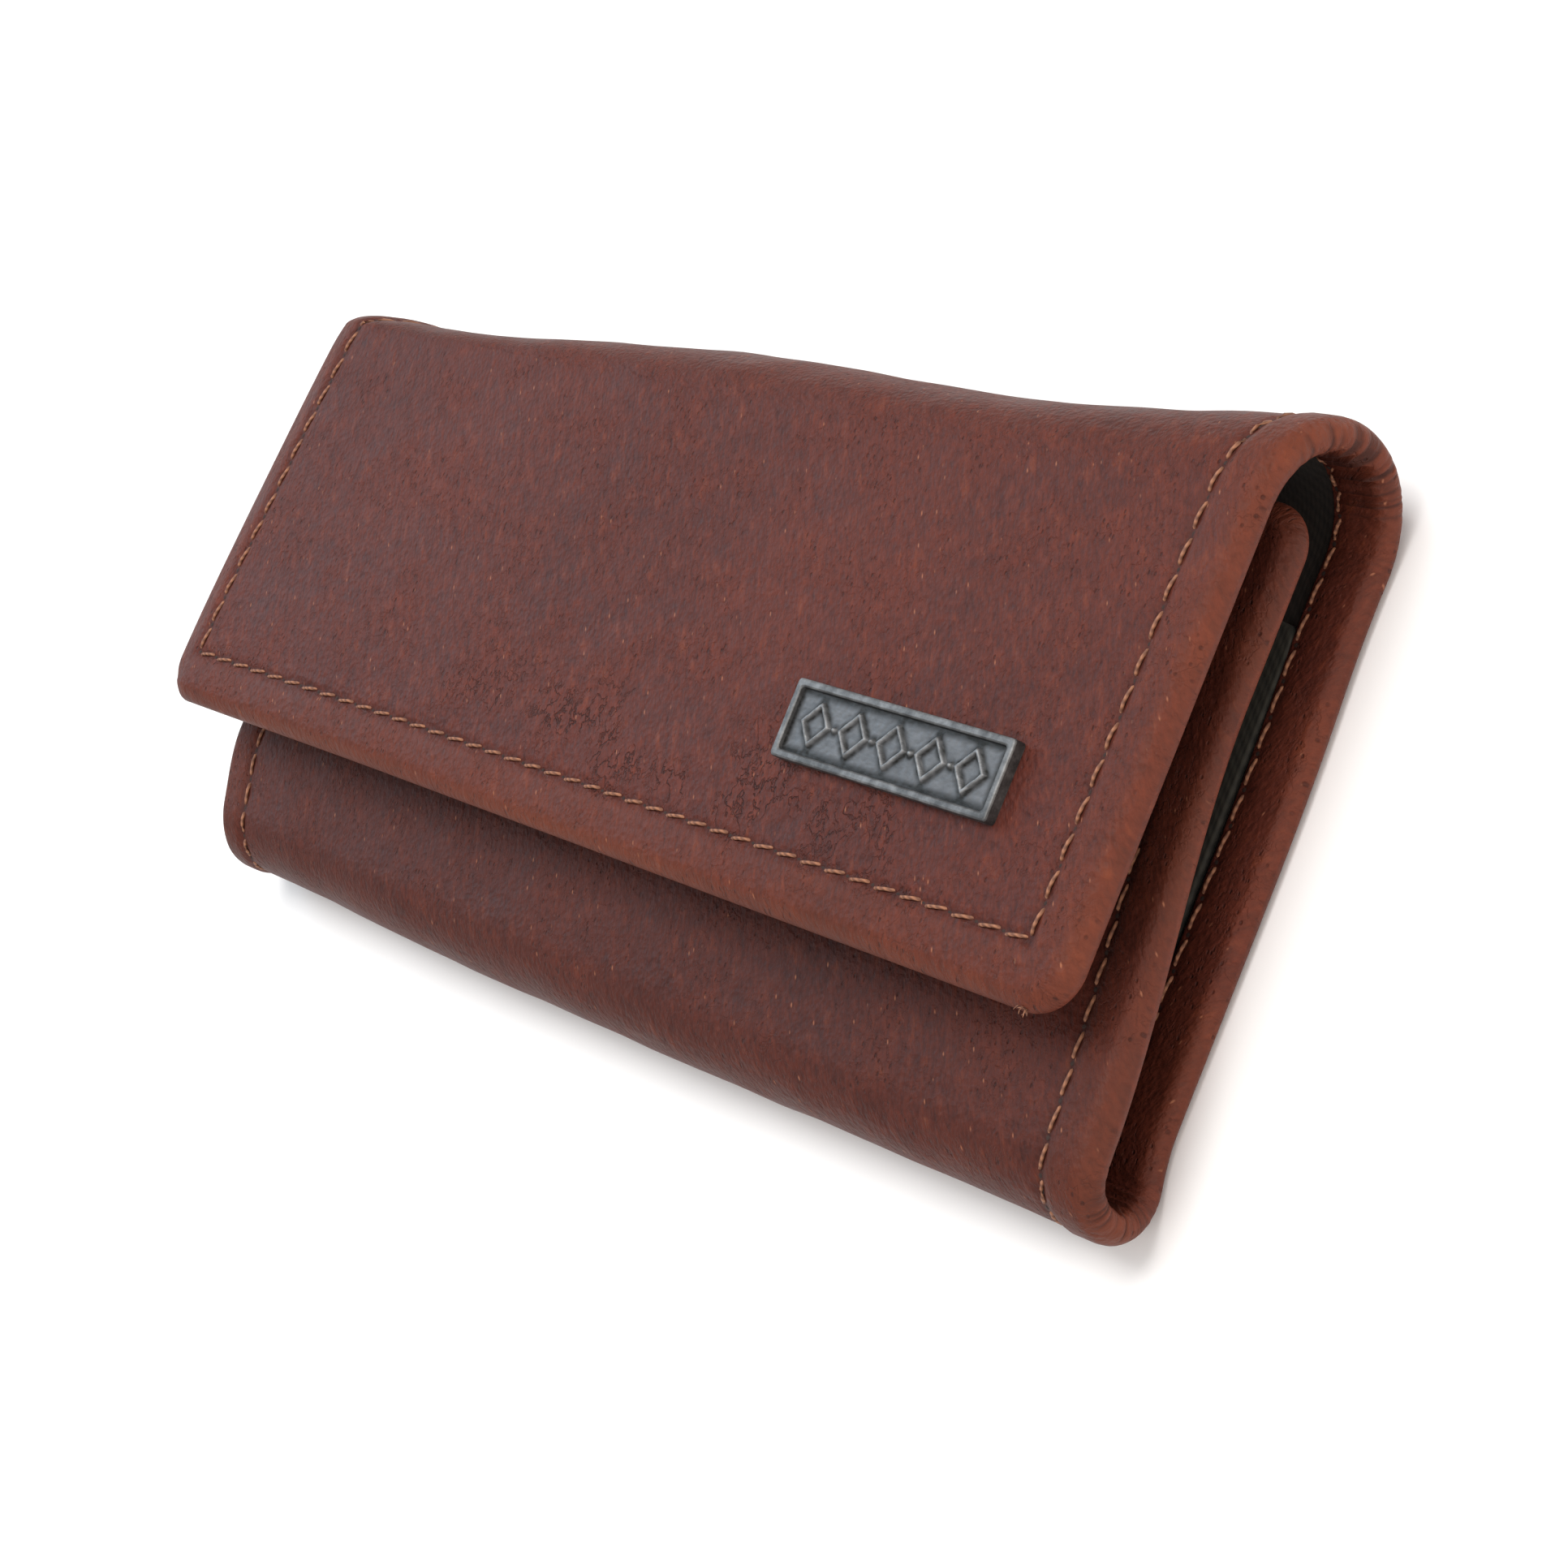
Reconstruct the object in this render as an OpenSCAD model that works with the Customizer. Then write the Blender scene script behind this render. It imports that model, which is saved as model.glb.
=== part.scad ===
// Long trifold wallet: back panel, front panel folded up, flap folded down over it.
// It lies closed on its back: X along the length, Y towards the top fold, Z out of the table.

/* [Wallet] */
// Length of the closed wallet
body_l = 190; // [170:1:228]
// Height of the closed wallet, fold to fold
body_h = 94; // [80:1:116]
// Height of the flap's outer face above the back face
flap_face = 27; // [26:0.5:33]
// Height of the front panel's outer face above the back face
front_face = 16; // [15.6:0.2:17]
// How far the flap comes down from the crest of the top fold
flap_reach = 74; // [62:1:78]
// Distance from the crest of the top fold to the front panel's free edge
front_drop = 10; // [9:0.5:16]
// Corner radius of the flap and the front panel
corner_r = 6; // [3:0.5:10]

/* [Layers] */
// Outer leather
leather_t = 1.4; // [1.0:0.1:1.7]
// Leather turned in over the edge
hem_t = 1.0; // [0.6:0.1:1.2]
// Width of the turned edge
hem_w = 8.6; // [7:0.2:11]
// Leather left standing at the very edge
rim_w = 2.0; // [1.2:0.1:3]
// Stiffening board
board_t = 0.8; // [0.5:0.1:1.0]
// Lining cloth
lining_t = 0.4; // [0.3:0.1:0.6]

/* [Card rows] */
// Thickness of one card row
card_t = 0.5; // [0.4:0.1:0.7]
// Step from one row's mouth to the next
card_step = 10.5; // [8:0.5:13]
// Distance from the start of the top fold to the first row's mouth
card_drop = 5; // [3:0.5:8]
// Gap between the two columns of card rows
card_gap = 0.8; // [0.4:0.1:2]

/* [Coin pocket] */
// Length of the pouch
pouch_l = 162; // [140:1:166]
// Height of the pouch
pouch_h = 58; // [48:1:62]
// Clear depth inside the pouch
pouch_depth = 4.5; // [4.3:0.1:4.8]
// Thickness of the pouch cloth
pouch_t = 0.4; // [0.3:0.1:0.6]
// Thickness of the leather facing
facing_t = 0.8; // [0.6:0.1:1.0]
// Length of the zip window
zip_l = 140; // [110:1:144]
// Height of the zip window
zip_h = 9; // [8.6:0.2:11]
// Distance from the pouch's upper edge to the middle of the zip
zip_drop = 11; // [10:0.5:16]
// Space from one zip tooth to the next
tooth_pitch = 2.5; // [2.2:0.1:3.2]

/* [Fasteners] */
// Diameter of the magnetic snap
snap_d = 14; // [12:0.5:16]
// Distance from the flap's free edge to the middle of the snap
snap_rise = 16; // [14:0.5:22]
// Length of the name plate
plate_l = 38; // [30:0.5:44]
// Height of the name plate
plate_h = 10; // [8:0.5:12]
// Thickness of the name plate
plate_t = 1.8; // [1.4:0.1:2.4]
// Distance from the right end to the plate's middle
plate_in = 38; // [32:1:60]
// Distance from the flap's free edge to the plate's middle
plate_rise = 23; // [20:0.5:30]

/* [Hidden] */
$fn = 48;

tan_leather = [0.45, 0.22, 0.15];
dark_cloth = [0.15, 0.14, 0.11];
grey_board = [0.55, 0.52, 0.48];
nickel = [0.62, 0.61, 0.58];
pewter = [0.33, 0.33, 0.32];

half_l = body_l / 2;
half_h = body_h / 2;
panel_t = leather_t + board_t + lining_t;
edge_t = panel_t + hem_t;
board_gap = 0.2;
sew_w = 3;
eps = 0.01;

// The two loops of leather: outer radius and centre of each fold
top_r = flap_face / 2;
top_y = half_h - top_r;
bottom_r = front_face / 2;
bottom_y = bottom_r - half_h;
// A fold bends at two creases: each panel keeps the arc up to tail_a, the middle piece starts at mid_a
tail_a = 32;
mid_a = 35;

flap_low = half_h - flap_reach;
front_high = half_h - front_drop;

// Pockets on the inside of the back panel, from the lining upward
note_gap = 0.6;
note_t = 0.5;
note_z = panel_t + note_gap;
pouch_z = note_z + note_t;
facing_z = pouch_z + pouch_t + pouch_depth;
pouch_y = (top_y + bottom_y) / 2;
pouch_high = pouch_y + pouch_h / 2;
zip_y = pouch_high - zip_drop;
tape_t = 0.4;
tape_gap = 2.6;
tooth_l = 1.3;
tooth_h = 1.2;
tooth_w = 1.1;
teeth_gap = 1.0;
tooth_z = facing_z - tape_t / 2 - tooth_h / 2;
tooth_count = floor((zip_l - 6) / tooth_pitch);
teeth_x = -(tooth_count - 1) * tooth_pitch / 2;
stop_w = 1.6;
stop_h = 0.6;
stop_in = 0.4;
stop_clear = 0.5;
slider_l = 7;
slider_w = 6.4;
slider_t = 0.6;
slider_clear = 0.2;
// The slider starts just past the stop at the closed end
slider_x = stop_in + stop_w + stop_clear + slider_l / 2 - zip_l / 2;
slider_top = tooth_z + tooth_h + slider_clear;
bail_h = 1.0;
puller_l = 17;

snap_y = flap_low + snap_rise;
snap_r = snap_d / 2;
snap_clear = 0.3;
stud_base_t = 1.6;
stud_r = 2.6;
stud_l = 2.0;
socket_face = flap_face - panel_t - 3 * card_t;
socket_back = front_face + stud_base_t + snap_clear;
washer_r = snap_r - 1;

plate_x = half_l - plate_in;
plate_y = flap_low + plate_rise;
prong_r = 0.8;
prong_out = plate_l / 2 - 6;
prong_clear = 0.2;
window_t = 0.3;
window_w = 84;
window_h = 40;
window_cover_t = 0.9;
window_frame = 7;
card_x = half_l - hem_w;

// Straight strip between two heights, with both lower corners rounded when r > 0
module tab(x_half, y_low, y_high, r) {
    translate([-x_half, y_low + r])
        square([2 * x_half, y_high - y_low - r]);
    if (r > 0) {
        translate([r - x_half, y_low])
            square([2 * (x_half - r), 2 * r]);
        for (side = [-1, 1])
            translate([side * (x_half - r), y_low + r])
                circle(r);
    }
}

// Ring sector of a fold, angles counted from where the fold leaves the back panel
module fold_sector(r_out, r_in, a0, a1) {
    far = 2 * r_out;
    intersection() {
        difference() {
            circle(r_out);
            circle(r_in);
        }
        polygon(concat([[0, 0]],
            [for (i = [0:4]) let (a = a0 + (a1 - a0) * i / 4 - 90) [far * cos(a), far * sin(a)]]));
    }
}

// Extrudes a section drawn in Y and Z over the middle 2 * x_half of the length
module along_x(x_half) {
    translate([-x_half, 0, 0])
        rotate([90, 0, 90])
            linear_extrude(2 * x_half)
                children();
}

// Ring sector of the top fold (side 1) or the bottom fold (side -1), h0 to h1 in from the outer face
module fold_band(side, h0, h1, a0, a1) {
    r = side > 0 ? top_r : bottom_r;
    translate([side > 0 ? top_y : bottom_y, r])
        mirror([side > 0 ? 0 : 1, 0])
            fold_sector(r - h0, r - h1, a0, a1);
}

// Leather of a fold's middle piece: a ring with room for the lining, turned in at both ends
module fold_leather(side) {
    a0 = mid_a;
    a1 = 180 - mid_a;
    difference() {
        along_x(half_l)
            fold_band(side, 0, edge_t, a0, a1);
        along_x(half_l - rim_w)
            fold_band(side, leather_t, panel_t, a0 - 1, a1 + 1);
        along_x(half_l - hem_w)
            fold_band(side, panel_t - eps, edge_t + 1, a0 - 1, a1 + 1);
    }
}

// Padded lining inside a fold
module fold_lining(side, a0, a1) {
    along_x(half_l - rim_w - board_gap)
        fold_band(side, leather_t, panel_t, a0, a1);
}

// Section of a panel, outer face down, with the arc that it keeps of each fold
module panel_band(h0, h1, y_low, y_high, top_a, bottom_a) {
    translate([y_low, h0])
        square([y_high - y_low, h1 - h0]);
    if (top_a > 0)
        fold_band(1, h0, h1, 0, top_a);
    if (bottom_a > 0)
        fold_band(-1, h0, h1, 0, bottom_a);
}

// Leather of a panel, outer face down; a free edge is turned in like both ends
module panel_leather(y_low, y_high, top_a, bottom_a) {
    free_low = bottom_a == 0;
    free_high = top_a == 0;
    top_cut = free_high ? 0 : top_a + 1;
    bottom_cut = free_low ? 0 : bottom_a + 1;
    rim_low = free_low ? y_low + rim_w : y_low;
    rim_high = free_high ? y_high - rim_w : y_high;
    hem_low = free_low ? y_low + hem_w : y_low;
    hem_high = free_high ? y_high - hem_w : y_high;
    difference() {
        intersection() {
            along_x(half_l)
                panel_band(0, edge_t, y_low, y_high, top_a, bottom_a);
            panel_plan(half_l, y_low, y_high, corner_r, free_low, free_high);
        }
        intersection() {
            along_x(half_l - rim_w)
                panel_band(leather_t, panel_t, rim_low, rim_high, top_cut, bottom_cut);
            panel_plan(half_l - rim_w, rim_low, rim_high, corner_r - rim_w, free_low, free_high);
        }
        along_x(half_l - hem_w)
            panel_band(panel_t - eps, edge_t + 1, hem_low, hem_high, top_cut, bottom_cut);
    }
}

// Plan outline that rounds the corners of a free edge and clears everything else
module panel_plan(x_half, y_low, y_high, r, free_low, free_high) {
    far = 2 * top_r;
    translate([0, 0, -eps])
        linear_extrude(far) {
            if (free_low)
                tab(x_half, y_low, y_high + far, r);
            if (free_high)
                mirror([0, 1])
                    tab(x_half, -y_high, far - y_low, r);
            if (!free_low && !free_high)
                square([2 * x_half + far, 4 * half_h], center = true);
        }
}

// One sheet inside a panel, h0 and h1 measured from the outer face
module panel_sheet(y_low, y_high, r, h0, h1) {
    translate([0, 0, h0])
        linear_extrude(h1 - h0)
            tab(half_l - rim_w - board_gap, y_low, y_high, r);
}

// Places a panel drawn outer face down so that its outer face looks up at height z
module face_up(z) {
    translate([0, 0, z])
        mirror([0, 0, 1])
            children();
}

// Turns a panel drawn with its free edge low so that the free edge is high
module free_edge_high() {
    mirror([0, 1, 0])
        children();
}

module back_leather() {
    color(tan_leather)
        panel_leather(bottom_y, top_y, tail_a, tail_a);
}

module back_board() {
    color(grey_board)
        panel_sheet(bottom_y, top_y, 0, leather_t, leather_t + board_t);
}

module back_lining() {
    color(dark_cloth) {
        panel_sheet(bottom_y, top_y, 0, leather_t + board_t, panel_t);
        fold_lining(1, 0, tail_a);
        fold_lining(-1, 0, tail_a);
    }
}

// Cloth held off the lining along three sewn margins, open towards the top fold
module note_pocket() {
    x = card_x - board_gap;
    color(dark_cloth)
        difference() {
            translate([-x, bottom_y, panel_t])
                cube([2 * x, pouch_high - bottom_y, note_gap + note_t]);
            translate([sew_w - x, bottom_y + sew_w, panel_t - eps])
                cube([2 * (x - sew_w), pouch_high - bottom_y, note_gap + eps]);
        }
}

// Cloth tray under the leather facing
module coin_pouch() {
    wall = 1;
    depth = pouch_t + pouch_depth;
    color(dark_cloth)
        difference() {
            translate([-pouch_l / 2, pouch_y - pouch_h / 2, pouch_z])
                cube([pouch_l, pouch_h, depth]);
            translate([wall - pouch_l / 2, pouch_y - pouch_h / 2 + wall, pouch_z + pouch_t])
                cube([pouch_l - 2 * wall, pouch_h - 2 * wall, depth]);
        }
}

module coin_facing() {
    color(tan_leather)
        difference() {
            translate([-pouch_l / 2, pouch_y - pouch_h / 2, facing_z])
                cube([pouch_l, pouch_h, facing_t]);
            translate([-zip_l / 2, zip_y - zip_h / 2, facing_z - eps])
                cube([zip_l, zip_h, facing_t + 2 * eps]);
        }
}

// side is 1 for the tape towards the top fold and -1 for the other
module zip_tape(side) {
    tape_w = zip_h / 2 - tape_gap / 2 + 4;
    y0 = side > 0 ? zip_y + tape_gap / 2 : zip_y - tape_gap / 2 - tape_w;
    color(dark_cloth)
        translate([-zip_l / 2 - 2, y0, facing_z - tape_t])
            cube([zip_l + 4, tape_w, tape_t]);
}

module zip_tape_upper() zip_tape(1);

module zip_tape_lower() zip_tape(-1);

// Every tooth grips the edge of its tape; the far row sits half a pitch on
module zip_teeth(side) {
    y0 = side > 0 ? zip_y + teeth_gap / 2 : zip_y - teeth_gap / 2 - tooth_l;
    shift = side > 0 ? tooth_pitch / 4 : -tooth_pitch / 4;
    grip = tape_gap / 2 - teeth_gap / 2;
    color(nickel)
        for (i = [0:tooth_count - 1])
            translate([teeth_x + i * tooth_pitch + shift - tooth_w / 2, y0, tooth_z])
                difference() {
                    cube([tooth_w, tooth_l, tooth_h]);
                    translate([-eps, side > 0 ? grip : -eps, tooth_h / 2 - tape_t / 2])
                        cube([tooth_w + 2 * eps, tooth_l - grip + eps, tape_t]);
                }
}

module zip_teeth_upper() zip_teeth(1);

module zip_teeth_lower() zip_teeth(-1);

// Bars across both tapes, one at each end of the zip
module zip_stops() {
    color(nickel)
        for (x = [stop_in - zip_l / 2, zip_l / 2 - stop_w - stop_in])
            translate([x, zip_y - slider_w / 2, facing_z])
                cube([stop_w, slider_w, stop_h]);
}

// Upper and lower plates joined by a thin neck that runs between the two rows
module zip_slider() {
    under = tooth_z - slider_clear - slider_t;
    neck_t = teeth_gap / 2;
    color(nickel)
        translate([slider_x, zip_y, 0]) {
            for (z = [under, slider_top])
                translate([-slider_l / 2, -slider_w / 2, z])
                    cube([slider_l, slider_w, slider_t]);
            translate([-slider_l / 2, -neck_t / 2, under])
                cube([slider_l / 2, neck_t, slider_top - under]);
            for (x = [-2.4, 1.6])
                translate([x, -0.9, slider_top + slider_t])
                    cube([0.8, 1.8, bail_h]);
            translate([-2.4, -0.9, slider_top + slider_t + bail_h - 0.3])
                cube([4.8, 1.8, 0.3]);
        }
}

// Flat puller lying along the closed zip, hooked through the bail
module zip_puller() {
    loop_t = 0.5;
    z = slider_top + slider_t + 0.1;
    color(nickel)
        translate([slider_x - 0.6, zip_y, z])
            difference() {
                union() {
                    translate([0, -2, 0])
                        cube([puller_l, 4, loop_t]);
                    translate([puller_l, 0, 0])
                        cylinder(h = loop_t, r = 2);
                }
                translate([0.8, -1.2, -eps])
                    cube([2.4, 2.4, loop_t + 2 * eps]);
                translate([puller_l - 1, 0, -eps])
                    cylinder(h = loop_t + 2 * eps, r = 0.8);
            }
}

module top_fold_leather() {
    color(tan_leather)
        fold_leather(1);
}

module top_fold_lining() {
    color(dark_cloth)
        fold_lining(1, mid_a, 180 - mid_a);
}

module flap_leather() {
    color(tan_leather)
        difference() {
            face_up(flap_face)
                panel_leather(flap_low, top_y, tail_a, 0);
            for (side = [-1, 1])
                translate([plate_x + side * prong_out, plate_y, flap_face - edge_t])
                    cylinder(h = 2 * edge_t, r = prong_r + prong_clear);
        }
}

module flap_board() {
    color(grey_board)
        difference() {
            face_up(flap_face)
                panel_sheet(flap_low + rim_w + board_gap, top_y, corner_r - rim_w,
                    leather_t, leather_t + board_t);
            translate([plate_x - plate_l / 2, plate_y - plate_h / 2, flap_face - panel_t])
                cube([plate_l, plate_h, panel_t]);
            translate([0, snap_y, flap_face - panel_t])
                cylinder(h = panel_t, r = washer_r + board_gap);
        }
}

module flap_lining() {
    color(dark_cloth) {
        difference() {
            face_up(flap_face)
                panel_sheet(flap_low + rim_w + board_gap, top_y, corner_r - rim_w,
                    leather_t + board_t, panel_t);
            translate([0, snap_y, socket_face])
                cylinder(h = panel_t, r = prong_r + prong_clear);
        }
        face_up(flap_face)
            fold_lining(1, 0, tail_a);
    }
}

// level 0 lies on the lining and reaches highest; each next one lies on it and is a step lower
module card_row(level) {
    high = top_y - card_drop - level * card_step;
    low = flap_low + hem_w + board_gap;
    w = card_x - board_gap - card_gap / 2;
    color(tan_leather)
        difference() {
            translate([0, 0, flap_face - panel_t - (level + 1) * card_t])
                for (x = [-card_x + board_gap, card_gap / 2])
                    translate([x, low, 0])
                        cube([w, high - low, card_t]);
            translate([0, snap_y, socket_face - eps])
                cylinder(h = panel_t, r = prong_r + prong_clear);
        }
}

module card_row_back() card_row(0);

module card_row_middle() card_row(1);

module card_row_front() card_row(2);

// Magnet cup with a round mouth for the stud, and a stem through the rows to the washer
module snap_socket() {
    stem_top = flap_face - leather_t;
    color(nickel)
        translate([0, snap_y, 0]) {
            difference() {
                translate([0, 0, socket_back])
                    cylinder(h = socket_face - socket_back, r = snap_r);
                translate([0, 0, socket_back - eps])
                    cylinder(h = stud_l + snap_clear, r = stud_r + snap_clear);
            }
            translate([0, 0, socket_face - eps])
                cylinder(h = stem_top - socket_face + eps, r = prong_r);
        }
}

module snap_socket_washer() {
    color(nickel)
        translate([0, snap_y, flap_face - leather_t - board_t])
            difference() {
                cylinder(h = board_t, r = washer_r);
                translate([0, 0, -eps])
                    cylinder(h = board_t + 2 * eps, r = prong_r + prong_clear);
            }
}

// Framed plate with a sunk field and two prongs through the leather
module name_plate() {
    border = 1.1;
    sunk = 0.5;
    color(pewter)
        translate([plate_x, plate_y, flap_face]) {
            difference() {
                translate([-plate_l / 2, -plate_h / 2, 0])
                    cube([plate_l, plate_h, plate_t]);
                translate([border - plate_l / 2, border - plate_h / 2, plate_t - sunk])
                    cube([plate_l - 2 * border, plate_h - 2 * border, sunk + eps]);
            }
            for (side = [-1, 1])
                translate([side * prong_out, 0, -leather_t - board_t])
                    cylinder(h = leather_t + board_t + eps, r = prong_r);
        }
}

module name_plate_washer() {
    color(nickel)
        translate([plate_x, plate_y, flap_face - leather_t - board_t])
            difference() {
                translate([board_gap - plate_l / 2, board_gap - plate_h / 2, 0])
                    cube([plate_l - 2 * board_gap, plate_h - 2 * board_gap, board_t]);
                for (side = [-1, 1])
                    translate([side * prong_out, 0, -eps])
                        cylinder(h = board_t + 2 * eps, r = prong_r + prong_clear);
            }
}

module bottom_fold_leather() {
    color(tan_leather)
        fold_leather(-1);
}

module bottom_fold_lining() {
    color(dark_cloth)
        fold_lining(-1, mid_a, 180 - mid_a);
}

module front_leather() {
    color(tan_leather)
        difference() {
            face_up(front_face)
                panel_leather(bottom_y, front_high, 0, tail_a);
            translate([0, snap_y, front_face - edge_t])
                cylinder(h = 2 * edge_t, r = prong_r + prong_clear);
        }
}

module front_board() {
    color(grey_board)
        difference() {
            face_up(front_face)
                free_edge_high()
                    panel_sheet(rim_w + board_gap - front_high, -bottom_y, corner_r - rim_w,
                        leather_t, leather_t + board_t);
            translate([0, snap_y, front_face - panel_t])
                cylinder(h = panel_t, r = washer_r + board_gap);
        }
}

module front_lining() {
    color(dark_cloth) {
        face_up(front_face)
            free_edge_high()
                panel_sheet(rim_w + board_gap - front_high, -bottom_y, corner_r - rim_w,
                    leather_t + board_t, panel_t);
        face_up(front_face)
            fold_lining(-1, 0, tail_a);
    }
}

// Leather cover with an opening for the window, open towards the top fold
module window_pocket() {
    x = card_x - board_gap;
    high = front_high - hem_w - board_gap;
    top_z = front_face - panel_t;
    wx = -x + window_frame;
    wy = (bottom_y + high - window_h) / 2;
    color(tan_leather)
        difference() {
            translate([-x, bottom_y, top_z - window_cover_t])
                cube([2 * x, high - bottom_y, window_cover_t]);
            translate([wx, wy, top_z - window_cover_t - eps])
                cube([window_w, window_h, window_cover_t + 2 * eps]);
            translate([wx - sew_w, wy - sew_w, top_z - window_t])
                cube([window_w + 2 * sew_w, window_h + 2 * sew_w, window_t + eps]);
        }
}

// Clear film seated in the recess behind the cover
module id_window() {
    x = card_x - board_gap;
    high = front_high - hem_w - board_gap;
    color([0.85, 0.88, 0.9, 0.4])
        translate([-x + window_frame - sew_w, (bottom_y + high - window_h) / 2 - sew_w,
            front_face - panel_t - window_t])
            cube([window_w + 2 * sew_w, window_h + 2 * sew_w, window_t]);
}

// Disc with the post that the magnet cup takes, and a stem through the leather to the washer
module snap_stud() {
    color(nickel)
        translate([0, snap_y, 0]) {
            translate([0, 0, front_face])
                cylinder(h = stud_base_t, r = snap_r);
            translate([0, 0, front_face + stud_base_t - eps])
                cylinder(h = stud_l, r = stud_r);
            translate([0, 0, front_face - leather_t - board_t])
                cylinder(h = leather_t + board_t + eps, r = prong_r);
        }
}

module snap_stud_washer() {
    color(nickel)
        translate([0, snap_y, front_face - leather_t - board_t])
            difference() {
                cylinder(h = board_t, r = washer_r);
                translate([0, 0, -eps])
                    cylinder(h = board_t + 2 * eps, r = prong_r + prong_clear);
            }
}

back_leather();
back_board();
back_lining();
note_pocket();
coin_pouch();
coin_facing();
zip_tape_upper();
zip_tape_lower();
zip_teeth_upper();
zip_teeth_lower();
zip_stops();
zip_slider();
zip_puller();
top_fold_leather();
top_fold_lining();
flap_leather();
flap_board();
flap_lining();
card_row_back();
card_row_middle();
card_row_front();
snap_socket();
snap_socket_washer();
name_plate();
name_plate_washer();
bottom_fold_leather();
bottom_fold_lining();
front_leather();
front_board();
front_lining();
window_pocket();
id_window();
snap_stud();
snap_stud_washer();
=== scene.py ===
import math

import bmesh
import bpy
import numpy as np
from mathutils import Matrix, Vector


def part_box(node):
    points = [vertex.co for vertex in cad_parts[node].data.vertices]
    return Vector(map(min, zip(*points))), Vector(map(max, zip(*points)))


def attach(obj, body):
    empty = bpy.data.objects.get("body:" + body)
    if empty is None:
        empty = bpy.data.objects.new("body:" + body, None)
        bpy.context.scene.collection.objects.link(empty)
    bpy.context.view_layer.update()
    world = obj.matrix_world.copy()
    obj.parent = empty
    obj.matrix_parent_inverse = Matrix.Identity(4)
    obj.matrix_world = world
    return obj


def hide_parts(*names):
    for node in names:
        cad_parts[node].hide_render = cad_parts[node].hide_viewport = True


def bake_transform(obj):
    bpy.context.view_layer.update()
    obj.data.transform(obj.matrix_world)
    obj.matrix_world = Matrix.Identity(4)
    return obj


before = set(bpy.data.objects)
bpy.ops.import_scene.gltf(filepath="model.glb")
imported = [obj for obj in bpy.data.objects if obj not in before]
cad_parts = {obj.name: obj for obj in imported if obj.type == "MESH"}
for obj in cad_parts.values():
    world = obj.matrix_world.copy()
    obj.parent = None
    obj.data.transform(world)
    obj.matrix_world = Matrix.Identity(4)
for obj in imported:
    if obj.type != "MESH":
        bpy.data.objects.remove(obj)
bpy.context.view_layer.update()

mm = 0.001


# camera, floor and light

shot = {
    "place": (0.3464, -0.0363, 0.2978),
    "turn": (25.57, 42.81, 30.55),  # degrees about X, Y, Z
    "lens": 78.96,
    "paper": (0.92, 0.92, 0.92),
    "sky": 0.62,
    "lamps": [  # name, place, size, watts, colour
        ("window", (-0.85, 0.15, 0.50), 0.5, 3.0, (0.66, 0.84, 1.0)),
        ("high", (0.10, 0.35, 1.10), 0.7, 10.5, (1.0, 0.97, 0.94)),
        ("front", (0.55, -0.65, 0.75), 0.9, 3.0, (1.0, 0.92, 0.86)),
        ("end", (0.9, 0.2, 0.25), 0.5, 2.5, (1.0, 0.84, 0.72)),
    ],
}


def put(name, data):
    thing = bpy.data.objects.new(name, data)
    bpy.context.scene.collection.objects.link(thing)
    return thing


def aim(thing, target=(0, 0, 0.01)):
    thing.rotation_euler = (Vector(target) - thing.location).to_track_quat("-Z", "Y").to_euler()


def setStage():
    scene = bpy.context.scene
    camData = bpy.data.cameras.new("camera")
    camData.lens = shot["lens"]
    camData.sensor_width = 36
    cam = put("camera", camData)
    cam.location = shot["place"]
    cam.rotation_euler = [math.radians(a) for a in shot["turn"]]
    scene.camera = cam
    for name, place, size, watts, colour in shot["lamps"]:
        data = bpy.data.lights.new(name, "AREA")
        data.size = size
        data.energy = watts
        data.color = colour
        lamp = put(name, data)
        lamp.location = place
        aim(lamp)
    world = bpy.data.worlds.new("studio")
    world.use_nodes = True
    sky = world.node_tree.nodes["Background"].inputs
    sky["Color"].default_value = (1, 1, 1, 1)
    sky["Strength"].default_value = shot["sky"]
    scene.world = world
    scene.view_settings.view_transform = "Standard"
    mesh = bpy.data.meshes.new("floor")
    far = 6.0
    mesh.from_pydata([(-far, -far, 0), (far, -far, 0), (far, far, 0), (-far, far, 0)], [], [(0, 1, 2, 3)])
    floor = put("floor", mesh)
    floor.location.z = -0.0002
    paper = bpy.data.materials.new("paper")
    paper.use_nodes = True
    skin = paper.node_tree.nodes["Principled BSDF"]
    skin.inputs["Base Color"].default_value = (*shot["paper"], 1)
    skin.inputs["Roughness"].default_value = 0.9
    mesh.materials.append(paper)
    print("stage set")


# shader maths

class Wire:
    # a socket that takes part in sums; each operator adds its Math node
    def __init__(self, finish, socket):
        self.finish = finish
        self.socket = socket

    def math(self, operation, a, b=0.0):
        return self.finish.node("ShaderNodeMath", {"operation": operation}, {0: a, 1: b})

    def __add__(self, other): return self.math("ADD", self, other)
    def __radd__(self, other): return self.math("ADD", other, self)
    def __sub__(self, other): return self.math("SUBTRACT", self, other)
    def __rsub__(self, other): return self.math("SUBTRACT", other, self)
    def __mul__(self, other): return self.math("MULTIPLY", self, other)
    def __rmul__(self, other): return self.math("MULTIPLY", other, self)

    def clip(self):
        return self.finish.node("ShaderNodeClamp", {}, {0: self})

    def size(self):
        return self.math("ABSOLUTE", self)

    def between(self, low, high):
        return self.finish.node("ShaderNodeMapRange", {"interpolation_type": "SMOOTHSTEP"},
                                {"Value": self, "From Min": low, "From Max": high})


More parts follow.
